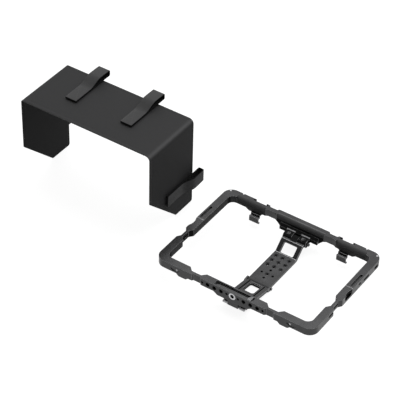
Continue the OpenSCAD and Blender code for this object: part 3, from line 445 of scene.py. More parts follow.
def rearWallSlot(x, c, n, v):
    # Painted shade by place and normal: on the block between the waists the ledge and the faces turned down
    # below the crown are painted deep shade, the rounding between them soft shade, and the crown stays
    # anodised; the waists are anodised, the rest of the wall is painted soft shade
    if x < v["waist"][0]:
        if c.z < v["ledgeTop"]:
            return deepShadeSlot
        if n.z > v["crown"][1]:
            return faceSlot
        if n.z < v["crown"][0]:
            return deepShadeSlot
    return faceSlot if within(x, v["waist"]) else softShadeSlot


def ringSlot(rear, c, n, v):
    # In turn: painted highlight on the ledge over the hinge's ears and on the seam's slopes, then painted
    # shade on the rear wall, the liners' walls, the channel, the pockets and the bed
    x = abs(c.x)
    if rear and n.z > v["level"] and within(c.y, v["ledgeHighlightY"]) and within(x, v["ledgeHighlightX"]):
        return highlightSlot
    if abs(c.y - v["seam"]) < v["seamHalf"] and within(n.z, v["seamTilt"]):
        return highlightSlot
    if rear and within(c.y, v["rearWall"]) and n.y < v["facesIn"] and n.z > -v["level"]:
        return rearWallSlot(x, c, n, v)
    if abs(n.z) < v["level"]:
        if within(x, v["linerX"]) and n.x * c.x < -v["linerTilt"] * x and c.y > v["linerFront"]:
            return deepShadeSlot
        if within(x, v["channelX"]) and c.z > v["channelLow"]:
            return deepShadeSlot
    if within(x, v["pocketX"]) and within(c.z, v["pocketZ"]):
        onWaist = within(c.y, v["sideWaist"]) and abs(n.x) > v["level"]
        return faceSlot if onWaist or not within(c.y, v["pocketY"]) else deepShadeSlot
    if not rear and inBed(c, v) and c.x < v["bedDark"]:
        return deepShadeSlot
    return faceSlot


def bracketSlot(c, n, v):
    # Painted shade: the grooves, the walls of the window and the step round it are painted deep shade
    x = abs(c.x)
    if within(x, v["grooveX"]) and n.z > -v["level"]:
        return deepShadeSlot
    if x < v["stepHalf"] and within(c.y, v["stepY"]):
        onStep = n.z > v["stepFlat"] and c.z + v["plateRise"] * c.y < v["stepHigh"]
        return deepShadeSlot if abs(n.z) < v["level"] or onStep else faceSlot
    return faceSlot


def armSlot(c, n, v):
    # Painted shade: the front end with the bracket's knuckle is painted soft shade, the walls in the plate
    # and the rear knuckle painted deep shade
    if c.y < v["plateY"][0]:
        return softShadeSlot
    inPlate = abs(n.z) < v["plateTilt"] and abs(c.x) < v["plateHalf"] and within(c.y, v["plateY"])
    return deepShadeSlot if inPlate or c.y > v["knuckle"] else faceSlot


def regionOf(node, c, n):
    # Slot of a face from its middle c in mm and its normal n
    if node in ("rear_frame", "front_frame"):
        return ringSlot(node == "rear_frame", c, n, regions)
    if node == "latch_bracket":
        return bracketSlot(c, n, regions)
    if node == "support_arm":
        return armSlot(c, n, regions)
    return faceSlot


def cutRegions(bm, node, v):
    # Faces are cut where a finish ends inside them: round the ledge's painted highlight, and at the end of
    # the bed's painted shade
    if node == "rear_frame":
        cuts = [((0, v["ledgeHighlightY"][1], 0), (0, 1, 0))]
        cuts += [((side * x, 0, 0), (1, 0, 0)) for x in v["ledgeHighlightX"] for side in (-1, 1)]
        for at, along in cuts:
            slope = [f for f in bm.faces if f.normal.z > v["level"]
                     and abs(f.calc_center_median().x) < v["ledgeHighlightCutHalf"] * mm
                     and within(f.calc_center_median().y, v["ledgeHighlightCutY"], mm)]
            sliceFaces(bm, slope, Vector(at) * mm, along)
    if node == "front_frame":
        bed = [f for f in bm.faces if inBed(f.calc_center_median() / mm, v)]
        sliceFaces(bm, bed, Vector((v["bedDark"] * mm, 0, 0)), (1, 0, 0))


mill = {
    "merge": 0.002,  # mm, points nearer than this become one
    "flat": 0.6,  # degrees, faces with a smaller turn between them become one
    "turn": 33.0,  # degrees between faces from which an edge is rounded
    "tiny": 0.12,  # mm, edges that meet a shorter one aren't rounded
    "rib": 3.0,  # mm2, the hooks' ribs are smaller and keep their edges
}


def keptSharp(bm, node, rims, v):
    # Points whose edges aren't rounded: ends of tiny edges, the bores' rims, and the arm's plate and knuckle
    kept = {q for e in bm.edges if e.calc_length() < mill["tiny"] * mm for q in e.verts} | rims
    if node == "support_arm":
        kept |= {q for q in bm.verts if q.co.y > v["knuckleEdge"] * mm
                 or abs(q.co.x) < v["plateHalf"] * mm and within(q.co.y, v["plateY"], mm)}
    return kept


def newBevel(o, name, width, segments, **values):
    bev = o.modifiers.new(name, "BEVEL")
    bev.width = width * mm
    bev.segments = segments
    bev.use_clamp_overlap = False
    for key, value in values.items():
        setattr(bev, key, value)


def milledCopy(node, name, body, faceFinish, edgeFinish, width, slot):
    # The CAD mesh with its flat faces merged, a slot for every face, and a bevel on every edge with a weight
    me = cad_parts[node].data.copy()
    me.name = name
    o = newObject(name, me)
    me.materials.clear()
    for key in (faceFinish, edgeFinish, *extraFinishes):
        me.materials.append(finish[key])
    bm = bmesh.new()
    bm.from_mesh(me)
    bmesh.ops.remove_doubles(bm, verts=bm.verts, dist=mill["merge"] * mm)
    bmesh.ops.dissolve_limit(bm, angle_limit=math.radians(mill["flat"]), verts=bm.verts, edges=bm.edges)
    cutRegions(bm, node, regions)
    rims, cones = countersink(bm, boreMouths(node, bores), bores)
    weight = bm.edges.layers.float.new("bevel_weight_edge")
    kept = keptSharp(bm, node, rims, regions)
    turn = math.radians(mill["turn"])
    least = mill["rib"] * mm * mm if node.startswith("cable_hook") else 0.0
    for e in bm.edges:
        sharp = e.calc_face_angle(0.0) > turn
        # A cone's outer and inner edge also end the smooth shading
        e.smooth = not sharp and len({f in cones for f in e.link_faces}) < 2
        e[weight] = float(sharp and kept.isdisjoint(e.verts)
                          and min(f.calc_area() for f in e.link_faces) > least)
    for f in bm.faces:
        f.smooth = True
        # Countersink cones are painted deep shade, the shade in a bore's mouth
        f.material_index = deepShadeSlot if f in cones else regionOf(node, f.calc_center_median() / mm, f.normal)
    bm.to_mesh(me)
    bm.free()
    # The CAD's stored corner normals no longer fit the merged faces
    me.attributes.remove(me.attributes["custom_normal"])
    newBevel(o, "edges", width, segments=2, limit_method="WEIGHT", harden_normals=True, material=edgeSlot)
    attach(o, body)
    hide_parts(node)


milledParts = [  # node, piece, body, finish, edge finish, edge radius in mm, record's slot
    ("rear_frame", "rearHalf", "frame", "anodised", "edge", 0.22, "black_aluminium"),
    ("front_frame", "frontHalf", "frame", "anodised", "edge", 0.22, "black_aluminium"),
    # The hinge block is painted deep shade all over, for the shade it sits in under the rear rail
    ("hinge_block", "hingeBlock", "frame", "paintedDeepShade", "brightEdge", 0.26, "black_aluminium"),
    ("cable_hook_left", "leftHook", "frame", "anodised", "brightEdge", 0.22, "black_aluminium"),
    ("cable_hook_right", "rightHook", "frame", "anodised", "brightEdge", 0.22, "black_aluminium"),
    ("rail_catch", "railCatch", "frame", "anodised", "edge", 0.12, "black_aluminium"),
    ("lock_bar", "lockBar", "lock", "anodised", "edge", 0.08, "black_aluminium"),
    ("lock_tab", "lockTab", "lock", "dullAluminium", "bareAluminium", 0.1, "bare_aluminium"),
    ("support_arm", "backArm", "arm", "anodised", "paintedCrestHighlight", 0.34, "black_aluminium"),
    ("latch_bracket", "latchBracket", "bracket", "anodised", "brightEdge", 0.18, "black_aluminium"),
    ("latch_lips", "latchLips", "bracket", "bareAluminium", "bareAluminium", 0.12, "bare_aluminium"),
    ("socket_insert", "steelInsert", "frame", "steel", "steel", 0.12, "steel"),
    ("frame_screws", "tongueScrews", "frame", "steel", "steel", 0.08, "steel"),
    ("hook_screws", "hookScrews", "frame", "blackSteel", "steel", 0.08, "steel"),
    ("hinge_block_screws", "hingeBlockScrews", "frame", "blackSteel", "steel", 0.08, "steel"),
    ("hinge_pin", "hingePin", "frame", "blackSteel", "steel", 0.1, "steel"),
    ("pin_lock_screws", "pinLockScrews", "frame", "blackSteel", "steel", 0.06, "steel"),
    ("catch_screws", "catchScrews", "frame", "blackSteel", "steel", 0.06, "steel"),
    ("corner_screws", "cornerScrews", "frame", "steel", "steel", 0.06, "steel"),
    ("lens_screws", "lensScrews", "frame", "steel", "steel", 0.06, "steel"),
    ("bracket_pin", "bracketPin", "arm", "blackSteel", "steel", 0.08, "steel"),
    ("lip_screws", "lipScrews", "bracket", "blackSteel", "steel", 0.06, "steel"),
    ("arm_bush", "armBush", "arm", "bronze", "bronze", 0.05, "bronze"),
    ("side_pads", "sidePads", "frame", "silicone", "silicone", 0.1, "silicone"),
    ("end_pads", "endPads", "frame", "silicone", "silicone", 0.1, "silicone"),
]
for part in milledParts:
    milledCopy(*part)
print("milled parts dressed:", len(milledParts))


# Grid surfaces

def quadsOf(nu, nv, closeU=False, closeV=False):
    # Faces between the neighbouring points of a grid of nu rows and nv columns
    i = np.arange(nu if closeU else nu - 1)[:, None]
    j = np.arange(nv if closeV else nv - 1)[None, :]
    i2, j2 = (i + 1) % nu, (j + 1) % nv
    return np.stack([i * nv + j, i2 * nv + j, i2 * nv + j2, i * nv + j2], -1).reshape(-1, 4)


def newPiece(name, points, quads, finishes, smooth=True):
    me = bpy.data.meshes.new(name)
    me.from_pydata(points.reshape(-1, 3).tolist(), [], quads.tolist())
    me.polygons.foreach_set("use_smooth", np.full(len(quads), smooth))
    for f in finishes:
        me.materials.append(finish[f])
    return newObject(name, me)


def gridPiece(name, points, finishes, uv=None, closeV=False, smooth=True, faceSlots=None):
    # points: rows by columns by xyz in metres
    quads = quadsOf(*points.shape[:2], closeV=closeV)
    o = newPiece(name, points, quads, finishes, smooth)
    if uv is not None:
        layer = o.data.uv_layers.new(name="cloth")
        layer.data.foreach_set("uv", uv.reshape(-1, 2)[quads.reshape(-1)].reshape(-1))
    if faceSlots is not None:
        o.data.polygons.foreach_set("material_index", faceSlots.reshape(-1).astype(np.int32))
    return o


def turnOut(o):
    # Points less than a micrometre apart become one, and the faces turn outwards
    bm = bmesh.new()
    bm.from_mesh(o.data)
    bmesh.ops.remove_doubles(bm, verts=bm.verts, dist=1e-6)
    bmesh.ops.recalc_face_normals(bm, faces=bm.faces)
    bm.to_mesh(o.data)
    bm.free()


def joinGrids(name, grids, finishName, closeU=False):
    # Many small grids of one size, closed across, become one piece
    points = np.stack(grids)
    n, nu, nv = points.shape[:3]
    quads = quadsOf(nu, nv, closeU, closeV=True)
    faces = (quads[None] + np.arange(n)[:, None, None] * nu * nv).reshape(-1, 4)
    o = newPiece(name, points, faces, [finishName])
    turnOut(o)
    return o


hood = {
    "left": -346.6,  # mm, row frame
    "rear": 64.6,
    "width": 193.8,
    "depth": 91.6,
    "height": 127.6,
    "foot": 35.3,
    "frontLow": 54.5,  # height of the front edge's lower corner
    "leftBend": 3.0,  # outer radii of the two bends
    "rightBend": 7.0,
    "corner": 3.0,
    "thick": 1.4,
    "bow": 0.3,  # how far the panels belly out
    "hem": 4.2,  # distance of the pressed line from the edges
    "hemDeep": 0.22,
    "hemWide": 0.55,
    "bendHighlightWide": 0.25,  # width of the painted bend highlight, as a share of a bend's length
    "softEdge": 0.4,
    "edgeBand": 4.0,  # columns are closer in this band at the front and rear edges
    "footBand": 2.5,  # and on both sides of the foot's end
    "lowBand": 0.04,  # rows are closer in this share of a panel, at its lower edge
    "columns": (9, 7, 44),  # in the edge bands, at the foot's end, between the bands
    "rows": (7, 34, 9, 70),  # in the low band, above it, over a bend, over the top
}


def roundedLow(y, h):
    # Height of the side panel's lower edge at depth y: foot, then slope, with an arc at every corner
    c, up = h["corner"], h["height"]
    pts = [np.array(p) for p in ((0.0, up), (0.0, 0.0), (h["foot"], 0.0),
                                 (h["depth"], h["frontLow"]), (h["depth"], up))]
    line = []
    for a, b, d in zip(pts[:-2], pts[1:-1], pts[2:]):
        u, v = (a - b) / np.linalg.norm(a - b), (d - b) / np.linalg.norm(d - b)
        half = math.acos(float(u @ v)) / 2
        m = b + (u + v) / np.linalg.norm(u + v) * c / math.sin(half)
        p, q = b + u * c / math.tan(half), b + v * c / math.tan(half)
        k = np.linspace(0, 1, 13)[:, None]
        w = (p - m) * (1 - k) + (q - m) * k
        line.append(m + w / np.linalg.norm(w, axis=1)[:, None] * c)
    line = np.concatenate(line)
    return np.interp(y, line[:, 0], line[:, 1])


def hoodEnds(h):
    # Lengths along the outer U at which its five parts end: left side, bend, top, bend, right side
    w, t, p, q = h["width"], h["height"], h["leftBend"], h["rightBend"]
    return np.cumsum([t - p, p * math.pi / 2, w - p - q, q * math.pi / 2, t - q])


def hoodPoint(s, e, h):
    # Place (x, z) and outward normal at length s along the outer U: up the left side, round a quarter arc,
    # along the top, round a quarter arc, down the right side. s = 0 is the left foot's level.
    w, t, p, q = h["width"], h["height"], h["leftBend"], h["rightBend"]
    a1 = np.clip((s - e[0]) / p, 0, math.pi / 2)
    a2 = np.clip((s - e[2]) / q, 0, math.pi / 2)
    nx, nz = -np.cos(a1 + a2), np.sin(a1 + a2)
    x = np.select([s < e[1], s < e[2]], [p - p * np.cos(a1), p + (s - e[1])], w - q + q * np.sin(a2))
    z = np.select([s < e[0], s < e[1], s < e[2], s < e[3]],
                  [s, t - p + p * np.sin(a1), np.full(s.shape, t), t - q + q * np.cos(a2)],
                  t - q - (s - e[3]))
    return x, z, nx, nz


def hoodColumns(h):
    edge, foot, middle = h["columns"]
    band, depth = h["edgeBand"], h["depth"]
    return np.unique(np.concatenate([
        np.linspace(0, band, edge), np.linspace(band, depth - band, middle),
        h["foot"] + np.linspace(-h["footBand"], h["footBand"], foot),
        np.linspace(depth - band, depth, edge)]))


def makeHood(h):
    e = hoodEnds(h)
    total = e[-1]
    y = hoodColumns(h)
    low = roundedLow(y, h)
    # Rows: each side panel from its own lower edge to the bend, then the bends and the top
    lowRows, panelRows, bendRows, topRows = h["rows"]
    band = h["lowBand"]
    up = np.unique(np.concatenate([np.linspace(0, band, lowRows), np.linspace(band, 1, panelRows)]))
    arcStep = np.linspace(0, 1, bendRows)[1:-1]
    left = low + (e[0] - low) * up[:, None]
    right = total - low - (total - e[3] - low) * up[:, None]
    bend1 = np.broadcast_to(e[0] + (e[1] - e[0]) * arcStep[:, None], (len(arcStep), len(y)))
    top = np.broadcast_to(np.linspace(e[1], e[2], topRows)[:, None], (topRows, len(y)))
    bend2 = np.broadcast_to(e[2] + (e[3] - e[2]) * arcStep[:, None], (len(arcStep), len(y)))
    s = np.concatenate([left, bend1, top, bend2, right[::-1]])
    yy = np.broadcast_to(y, s.shape)
    x, z, nx, nz = hoodPoint(s, e, h)
    # Belly: each panel leans outwards by bow times a sine along it and across it
    part = np.where(s < e[0], s / e[0],
                    np.where(s > e[3], (total - s) / (total - e[3]), (s - e[1]) / (e[2] - e[1])))
    belly = h["bow"] * np.sin(np.pi * np.clip(part, 0, 1)) * np.sin(np.pi * yy / h["depth"])
    # Pressed line: a bell-shaped groove at a fixed distance from the rear, front and lower edges
    above = np.minimum(s, total - s) - low
    edge = np.minimum(np.minimum(yy, h["depth"] - yy), above)
    groove = h["hemDeep"] * np.exp(-((edge - h["hem"]) / h["hemWide"]) ** 2)
    off = belly - groove - h["bow"]
    pts = np.stack([h["left"] + x + nx * off, h["rear"] - yy, z + nz * off], -1) * mm
    uv = np.stack([s, yy], -1) * mm
    o = gridPiece("sunHood", pts[:, ::-1], ["hoodSkin", "hoodLining", "hoodEdge"], uv[:, ::-1])
    # Painted highlight along the bends: a bell curve of s round the middle of each bend, a share of the bend
    # wide
    bendHighlight = sum(np.exp(-((s - (a + b) / 2) / (h["bendHighlightWide"] * (b - a))) ** 2) for a, b in (e[:2], e[2:4]))
    layer = o.data.attributes.new("bendHighlight", "FLOAT", "POINT")
    layer.data.foreach_set("value", np.ascontiguousarray(bendHighlight[:, ::-1], np.float32).reshape(-1))
    solid = o.modifiers.new("board", "SOLIDIFY")
    solid.thickness = (h["thick"] - h["bow"]) * mm
    solid.offset = -1
    solid.use_even_offset = True
    solid.material_offset = 1
    solid.material_offset_rim = 2
    newBevel(o, "softEdges", h["softEdge"], segments=3, limit_method="ANGLE", angle_limit=math.radians(60))
    return o


hoodPiece = makeHood(hood)
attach(hoodPiece, "hood")
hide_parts("hood_shell")
print("sun hood made")


strap = {
    "topX": (51.0, 134.0),  # mm, from the hood's left side to its top straps' middles
    "sideZ": 38.0,  # height of those on its sides
    "width": 16.6,
    "thick": 1.24,  # under the CAD's 1.3, so that the two layers show
    "layer": 1.3,
    "start": -58.0,  # from the hood's rear edge
    "lift": -29.0,  # where the upper layer leaves the lower one
    "rise": 22.0,
    "past": 12.0,
    "arch": 6.2,
    "droop": 0.6,
    "turn": 2.0,  # outer radius of the loop's rear end
    "side": 0.45,  # rounding of the strap's long edges
    "soft": 0.5,  # length of its rounded ends
    "sag": 0.25,  # how far the arch dips along its middle
    "underBand": 0.1,  # faces this near to the underside have the loop finish
    "patch": 0.8,  # thickness of the tape patch under the strap
    "patchIn": 0.5,  # how far the patch stays inside the strap's outline
    "patchSide": 0.3,
    "patchSoft": 0.35,
    "seatGap": 0.02,
    "sewnIn": (2.0, 2.2, 2.5),  # inset of the sewn rectangle from the sides, the end and the lift
    "sewnSink": 0.08,
}
seats = {  # a strap's seat: place from the hood's left side, directions across and up; along is +Y
    "strap_top_left": ((strap["topX"][0], hood["rear"], hood["height"]), (1, 0, 0), (0, 0, 1)),
    "strap_top_right": ((strap["topX"][1], hood["rear"], hood["height"]), (1, 0, 0), (0, 0, 1)),
    "strap_right": ((hood["width"], hood["rear"], strap["sideZ"]), (0, 0, -1), (1, 0, 0)),
    "strap_left": ((0.0, hood["rear"], strap["sideZ"]), (0, 0, 1), (-1, 0, 0)),
}


def strapPath(p):
    # Centre line (along, height) of the tape: back along the hood, up round the rear end in two quarter
    # turns, forward over the arch and down onto the first layer
    half, r = p["layer"] / 2, p["turn"] - p["layer"] / 2
    end = p["past"] - p["turn"]
    y = np.linspace(end, p["start"], 84)
    up = np.clip((y - p["lift"]) / p["rise"], 0, 1)
    past = np.clip((y - p["lift"] - p["rise"]) / (p["past"] - p["lift"] - p["rise"]), 0, 1)
    z = p["layer"] + half + p["arch"] * (1 - np.cos(np.pi * up)) / 2 - p["droop"] * past ** 2
    low = np.stack([np.linspace(p["start"], end, 50), np.full(50, half)], -1)
    b = np.linspace(0, math.pi / 2, 9)
    turn1 = np.stack([end + r * np.sin(b), half + r - r * np.cos(b)], -1)
    turn2 = np.stack([end + r * np.cos(b), z[0] - r + r * np.sin(b)], -1)
    line = np.concatenate([low, turn1, turn2, np.stack([y, z], -1)])
    keep = np.concatenate([[True], np.linalg.norm(np.diff(line, axis=0), axis=1) > 0.02])
    return line[keep]


def bandSection(width, thick, side, n=6):
    # Closed outline of a flat band: a rectangle with round corners, from the top's right round to its start
    c = []
    for cx, cy, a0 in ((1, 1, 0), (-1, 1, 90), (-1, -1, 180), (1, -1, 270)):
        a = np.radians(a0 + np.linspace(0, 90, n))
        c.append(np.stack([cx * (width / 2 - side) + side * np.cos(a),
                           cy * (thick / 2 - side) + side * np.sin(a)], -1))
    return np.concatenate(c)


def runLength(line):
    return np.concatenate([[0], np.cumsum(np.linalg.norm(np.diff(line, axis=0), axis=1))])


def sweepBand(line, section, soft):
    # Profile carried along a path in the (along, height) plane: point = line + normal * height, across =
    # width. Over the length soft the rings shrink to a point at both ends.
    d = np.gradient(line, axis=0)
    d /= np.linalg.norm(d, axis=1)[:, None]
    normal = np.stack([-d[:, 1], d[:, 0]], -1)
    length = runLength(line)
    # At the lengths ends from each end, the rings have these sizes
    ends = np.array([0.0, 0.1, 0.45, 1.0]) * soft
    sizes = np.array([0.0, 0.55, 0.86, 1.0])
    middle = length[(length > soft) & (length < length[-1] - soft)]
    where = np.unique(np.concatenate([ends, middle, length[-1] - ends[::-1]]))
    at = np.stack([np.interp(where, length, line[:, k]) for k in (0, 1)], -1)
    out = np.stack([np.interp(where, length, normal[:, k]) for k in (0, 1)], -1)
    out /= np.linalg.norm(out, axis=1)[:, None]
    k = np.ones(len(where))
    k[:4], k[-4:] = sizes, sizes[::-1]
    # Across, only a rim of 1.5 times soft shrinks, so the end keeps its straight edge
    wide = section[None, :, 0]
    across = np.sign(wide) * np.maximum(np.abs(wide) - (1 - k[:, None]) * soft * 1.5, 0)
    across[[0, -1]] = 0.0
    high = section[None, :, 1] * k[:, None]
    along, up = (at[:, None, i] + out[:, None, i] * high for i in (0, 1))
    return np.stack([across, along, up], -1), np.stack(np.meshgrid(runLength(section), where), -1)


def onSeat(local, seat):
    # Local (across, along, up) to the row frame in metres
    at, across, up = (np.array(v, float) for v in seat)
    at = at + np.array([hood["left"], 0, 0])
    along = local[..., 1:2] * np.array([0, 1.0, 0])
    return (at + local[..., :1] * across + along + local[..., 2:] * up) * mm


stitch = {
    "pitch": 2.6,  # mm
    "long": 1.7,
    "radius": 0.2,
    "bow": 0.12,
    "sink": 0.02,
}


def stitchRow(a, b, v):
    # Short threads from a to b. Along each, u from 0 to 1: middle's height = bow * sine(pi * u) - sink,
    # radius = radius * root of sine(pi * u)
    a, b = np.array(a, float), np.array(b, float)
    long = np.linalg.norm(b - a)
    n = max(int(long / v["pitch"]), 1)
    d = (b - a) / long
    side = np.array([-d[1], d[0]])
    u = np.linspace(0, 1, 7)
    turn = np.linspace(0, 2 * math.pi, 7)[:-1]
    fat = np.sqrt(np.clip(np.sin(np.pi * u), 0, 1)) * v["radius"]
    z = (v["bow"] * np.sin(np.pi * u) - v["sink"])[:, None] + fat[:, None] * np.sin(turn)
    threads = []
    for k in range(n):
        mid = a + d * (k + 0.5) * long / n
        along = (u - 0.5) * v["long"]
        xy = mid + along[:, None, None] * d + (fat[:, None] * np.cos(turn))[..., None] * side
        threads.append(np.concatenate([xy, z[..., None]], -1))
    return threads


def makeStrap(node, name, p):
    # Tape on its seat, and the threads of the sewn rectangle and its diagonals on the flat end
    seat = seats[node]
    base = p["patch"] + 2 * p["seatGap"]
    outline = bandSection(p["width"], p["thick"], p["side"])
    pts, uv = sweepBand(strapPath(p), outline, p["soft"])
    # A worn tape isn't quite flat: the arch dips along its middle
    high = np.clip((pts[..., 2] - 2 * p["layer"]) / p["arch"], 0, 1)
    pts[..., 2] += base - p["sag"] * high * np.cos(np.pi * pts[..., 0] / p["width"])
    under = np.maximum(outline[:, 1], np.roll(outline[:, 1], -1)) < p["underBand"] - p["thick"] / 2
    slots = np.broadcast_to(np.where(under, 0, 1), (pts.shape[0] - 1, len(outline)))
    band = gridPiece(name, onSeat(pts, seat), ["loopTape", "tapeBack"], uv * mm, closeV=True,
                     faceSlots=slots)
    turnOut(band)
    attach(band, "hood")
    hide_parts(node)
    w, y0, y1 = np.array([p["width"] / 2, p["start"], p["lift"]]) + np.array([-1, 1, -1]) * p["sewnIn"]
    a, b, c, d = (-w, y0), (w, y0), (w, y1), (-w, y1)
    lift = np.array([0, 0, base + p["layer"] + p["thick"] - p["sewnSink"]])
    return [onSeat(thread + lift, seat) for line in ((a, b), (b, c), (c, d), (d, a), (a, c), (b, d))
            for thread in stitchRow(*line, stitch)]


stitches = []
for node, name in (("strap_top_left", "strapTopLeft"), ("strap_top_right", "strapTopRight"),
                   ("strap_right", "strapRight"), ("strap_left", "strapLeft")):
    stitches += makeStrap(node, name, strap)
threads = joinGrids("strapStitches", stitches, "thread")
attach(threads, "hood")


def makePatches(p):
    # Four thin rounded slabs: the band section carried straight along the flat end
    near, far = p["start"] + p["patchIn"], p["lift"] - p["patchIn"]
    line = np.stack([np.linspace(near, far, 12), np.full(12, p["patch"] / 2)], -1)
    section = bandSection(p["width"] - 2 * p["patchIn"], p["patch"], p["patchSide"])
    pts = sweepBand(line, section, p["patchSoft"])[0]
    pts[..., 2] += p["seatGap"]
    return joinGrids("strapPatches", [onSeat(pts, seat) for seat in seats.values()], "tapeBack")


patches = makePatches(strap)
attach(patches, "hood")
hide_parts("strap_patches")
print("straps, stitches and patches made:", len(stitches), "stitches")


screwThread = {
    "wall": 2.58,  # mm, just inside the bore's wall
    "root": 2.5,
    "crest": 1.95,
    "pitch": 1.27,  # twenty turns to the inch
    "flat": 0.8,  # power of the wave, below 1 for wider crests
    "sides": 36,
    "rings": 9,  # to the mm
    # lower and upper end along the bore, length over which the thread fades in, turn of its start in radians
    "arm": (0.02, 3.86, 0.08, 1.08),
    "rail": (0.14, 7.86, 0.35, 0.0),
}


def threadTube(p, low, high, lead, start):
    # Closed tube with a helical ridge inside: radius = root - (root - crest) * wave, where the wave is
    # (0.5 + 0.5 * cosine(turns of height / pitch - angle + start)) to the power flat, and fades out at both
    # mouths. Rows go round the axis, columns up the inner wall and back down the outer one.
    u = np.linspace(0, 2 * math.pi, p["sides"] + 1)[:-1][:, None]
    z = np.linspace(low, high, int(high * p["rings"]))[None, :]
    fade = np.clip(np.minimum(z - low, high - z) / lead, 0, 1)
    wave = (0.5 + 0.5 * np.cos(2 * math.pi * z / p["pitch"] - u + start)) ** p["flat"]
    r = p["root"] - (p["root"] - p["crest"]) * wave * fade
    wall = np.full((len(u), 1), p["wall"])
    r = np.concatenate([wall, r, wall], 1)
    z = np.broadcast_to(np.concatenate([z[:, :1], z, z[:, -1:]], 1), r.shape)
    return np.stack([r * np.cos(u), r * np.sin(u), z], -1)


def makeThreads(p):
    tube = threadTube(p, *p["arm"])
    tubes = [(tube + np.array([x, y, 0.0])) * mm for x, y in armBores]
    # The arm's thread tubes are painted a dull grey shade, for the shaded inside of its bores
    arm = joinGrids("armThreads", tubes, "paintedBoreShade", closeU=True)
    tube = threadTube(p, *p["rail"])[..., [0, 2, 1]]
    tubes = [(tube + np.array([x, bores["frontY"], bores["rowZ"]])) * mm for x in railBores]
    # The rail's thread tubes are painted deep shade, for the shade inside the bores
    rail = joinGrids("railThreads", tubes, "paintedDeepShade", closeU=True)
    for o, body in ((arm, "arm"), (rail, "frame")):
        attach(o, body)


makeThreads(screwThread)

knob = {
    "at": (16.4, 63.4, 14.0),  # mm, inner end of the knob on the hinge pin's axis
    "length": 3.0,
    "radius": 1.84,
    "chamfer": 0.5,
    "ridges": 20,
    "high": 0.13,
    "middle": 0.4,  # share of a ridge under the radius
}


def makeKnob(k):
    # Turned knob: radius along the axis with two chamfers, plus high * (|sine(ridges * angle / 2)| - middle)
    # between them
    n, c, full = k["length"], k["chamfer"], k["radius"]
    profile = np.array([  # along the axis, how far inside the radius, share of the ridges
        (0.0, full, 0), (0.0, c, 0), (0.02, c, 0), (c, 0, 0.3), (c + 0.1, 0, 1),
        (n - c - 0.1, 0, 1), (n - c, 0, 0.3), (n - 0.02, c, 0), (n, c * 1.4, 0), (n + 0.001, full, 0)])
    x, inside, on = profile.T[:, :, None]
    u = np.linspace(0, 2 * math.pi, k["ridges"] * 8 + 1)[:-1]
    rr = full - inside + on * k["high"] * (np.abs(np.sin(k["ridges"] * u / 2))[None, :] - k["middle"])
    pts = np.array(k["at"]) + np.stack([np.broadcast_to(x, rr.shape), rr * np.cos(u), rr * np.sin(u)], -1)
    o = gridPiece("pinKnob", pts * mm, ["blackSteel"], closeV=True, smooth=False)
    turnOut(o)
    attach(o, "frame")


makeKnob(knob)
print("threads and knob made")


# Floor, room, lights and camera

studio = {
    "floorHalf": 4.0,  # metres
    "floorDrop": 0.0002,  # the floor is this far under the feet
    "paper": (0.26, 0.3),  # greys of the floor's paper
    "paperScale": 800.0,
    "paperRough": 0.9,
    "paperSpecular": 0.1,
    "floorGlow": 0.88,
    "floorMirrored": 0.78,  # share of the glow that gloss shows
    "brightSide": (-0.28, 0.62, 0.73),  # where the room is brightest
    "room": [(0.0, 0.1), (0.62, 0.06), (0.85, 0.9), (1.0, 1.1)],  # greys, dark side to bright
    "lights": [  # name, place and aim in metres, size, power
        ("overhead", (-0.1, 0.5, 1.5), (-0.1, 0, 0), (1.6, 1.2), 9.0),
        ("rightSide", (1.5, -0.2, 0.7), (-0.1, 0, 0.03), (1.0, 0.9), 1.0),
        ("front", (-0.4, -1.6, 0.8), (-0.1, 0, 0.03), (1.2, 0.8), 0.2),
    ],
    "azimuth": 33.305,
    "elevation": 39.949,
    "roll": 1.547,
    "shift": (81.845, -74.365, -2175.9),  # mm, ring's middle in camera axes
    "focal": 1831.59,  # photo's pixels
    "photoWidth": 400.0,
    "sensor": 36.0,
}


def greyStops(stops):
    return [(p, (v, v, v)) for p, v in stops]


def makeFloor(v):
    # Flat grid just under the feet. Its paper's glow = floorGlow * the most of camera ray, transmission ray
    # and floorMirrored * glossy ray
    u = np.linspace(-1, 1, 61) * v["floorHalf"]
    x, y = np.meshgrid(u, u, indexing="ij")
    floor = gridPiece("paleFloor", np.stack([x, y, np.full_like(x, -v["floorDrop"])], -1), [])
    paper = bpy.data.materials.new("whitePaper")
    paper.use_nodes = True
    t = paper.node_tree
    b = t.nodes["Principled BSDF"]
    place = addNode(t, "TexCoord").outputs["Object"]
    noise = addNode(t, "TexNoise", {"Scale": v["paperScale"], "Vector": place})
    colour = ramp(t, noise.outputs["Fac"], greyStops(zip(pattern["toneEnds"], v["paper"])))
    setInputs(b, {"Roughness": v["paperRough"], "Specular IOR Level": v["paperSpecular"],
                  "Base Color": colour})
    path = addNode(t, "LightPath")
    mirrored = times(t, path.outputs["Is Glossy Ray"], v["floorMirrored"])
    seen = most(t, path.outputs["Is Camera Ray"], most(t, mirrored, path.outputs["Is Transmission Ray"]))
    glow = addNode(t, "Emission", {"Color": (1, 1, 1, 1), "Strength": times(t, seen, v["floorGlow"])})
    both = addNode(t, "AddShader", {0: b.outputs[0], 1: glow.outputs[0]})
    setInputs(t.nodes["Material Output"], {"Surface": both.outputs[0]})
    floor.data.materials.append(paper)


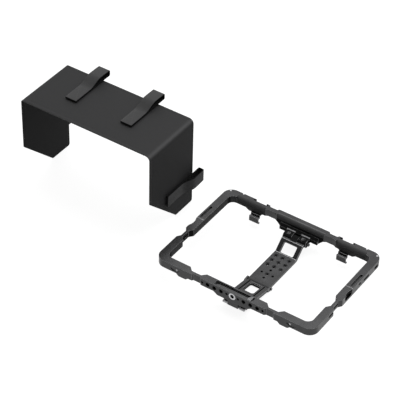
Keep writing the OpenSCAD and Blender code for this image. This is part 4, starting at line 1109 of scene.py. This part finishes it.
def makeRoom(v):
    # The room: bright behind and above, dark on the camera's side, by the direction of the ray. Camera and
    # transmission rays see white, glossy rays see it where the room is bright.
    world = bpy.data.worlds.new("studio")
    bpy.context.scene.world = world
    world.use_nodes = True
    t = world.node_tree
    path = addNode(t, "LightPath")
    dot = addNode(t, "VectorMath", {0: addNode(t, "TexCoord").outputs["Generated"], 1: v["brightSide"]},
                  operation="DOT_PRODUCT")
    room = ramp(t, plus(t, times(t, dot.outputs["Value"], 0.5), 0.5), greyStops(v["room"]))
    glossy = times(t, path.outputs["Is Glossy Ray"], room)
    seen = most(t, path.outputs["Is Camera Ray"], most(t, path.outputs["Is Transmission Ray"], glossy))
    setInputs(t.nodes["Background"], {"Color": mixed(t, seen, room, (1, 1, 1)), "Strength": 1.0})


def softbox(name, at, aim, size, power):
    light = bpy.data.lights.new(name, "AREA")
    light.shape = "RECTANGLE"
    light.size, light.size_y = size
    light.energy = power
    o = newObject(name, light)
    o.location = at
    o.rotation_euler = (Vector(aim) - Vector(at)).to_track_quat("-Z", "Y").to_euler()


def placeCamera(v):
    # Axes from azimuth, elevation and roll; the place is minus the turned shift, moved to the row frame
    a, e, r = (math.radians(v[k]) for k in ("azimuth", "elevation", "roll"))
    back = np.array([math.sin(a) * math.cos(e), -math.cos(a) * math.cos(e), math.sin(e)])
    right = np.array([math.cos(a), math.sin(a), 0.0])
    axes = np.stack([right, np.cross(back, right), back])
    c, s = math.cos(r), math.sin(r)
    axes = np.array([[c, s, 0], [-s, c, 0], [0, 0, 1]]) @ axes
    at = (-axes.T @ np.array(v["shift"]) + ringToRow) * mm
    cam = bpy.data.cameras.new("camera")
    cam.lens = v["sensor"] * v["focal"] / v["photoWidth"]
    cam.sensor_width = v["sensor"]
    o = newObject("camera", cam)
    o.matrix_world = Matrix([(*axes[:, i], at[i]) for i in range(3)] + [(0, 0, 0, 1)])
    bpy.context.scene.camera = o


makeFloor(studio)
makeRoom(studio)
for box in studio["lights"]:
    softbox(*box)
placeCamera(studio)
bpy.context.scene.view_settings.view_transform = "Standard"
print("studio set")
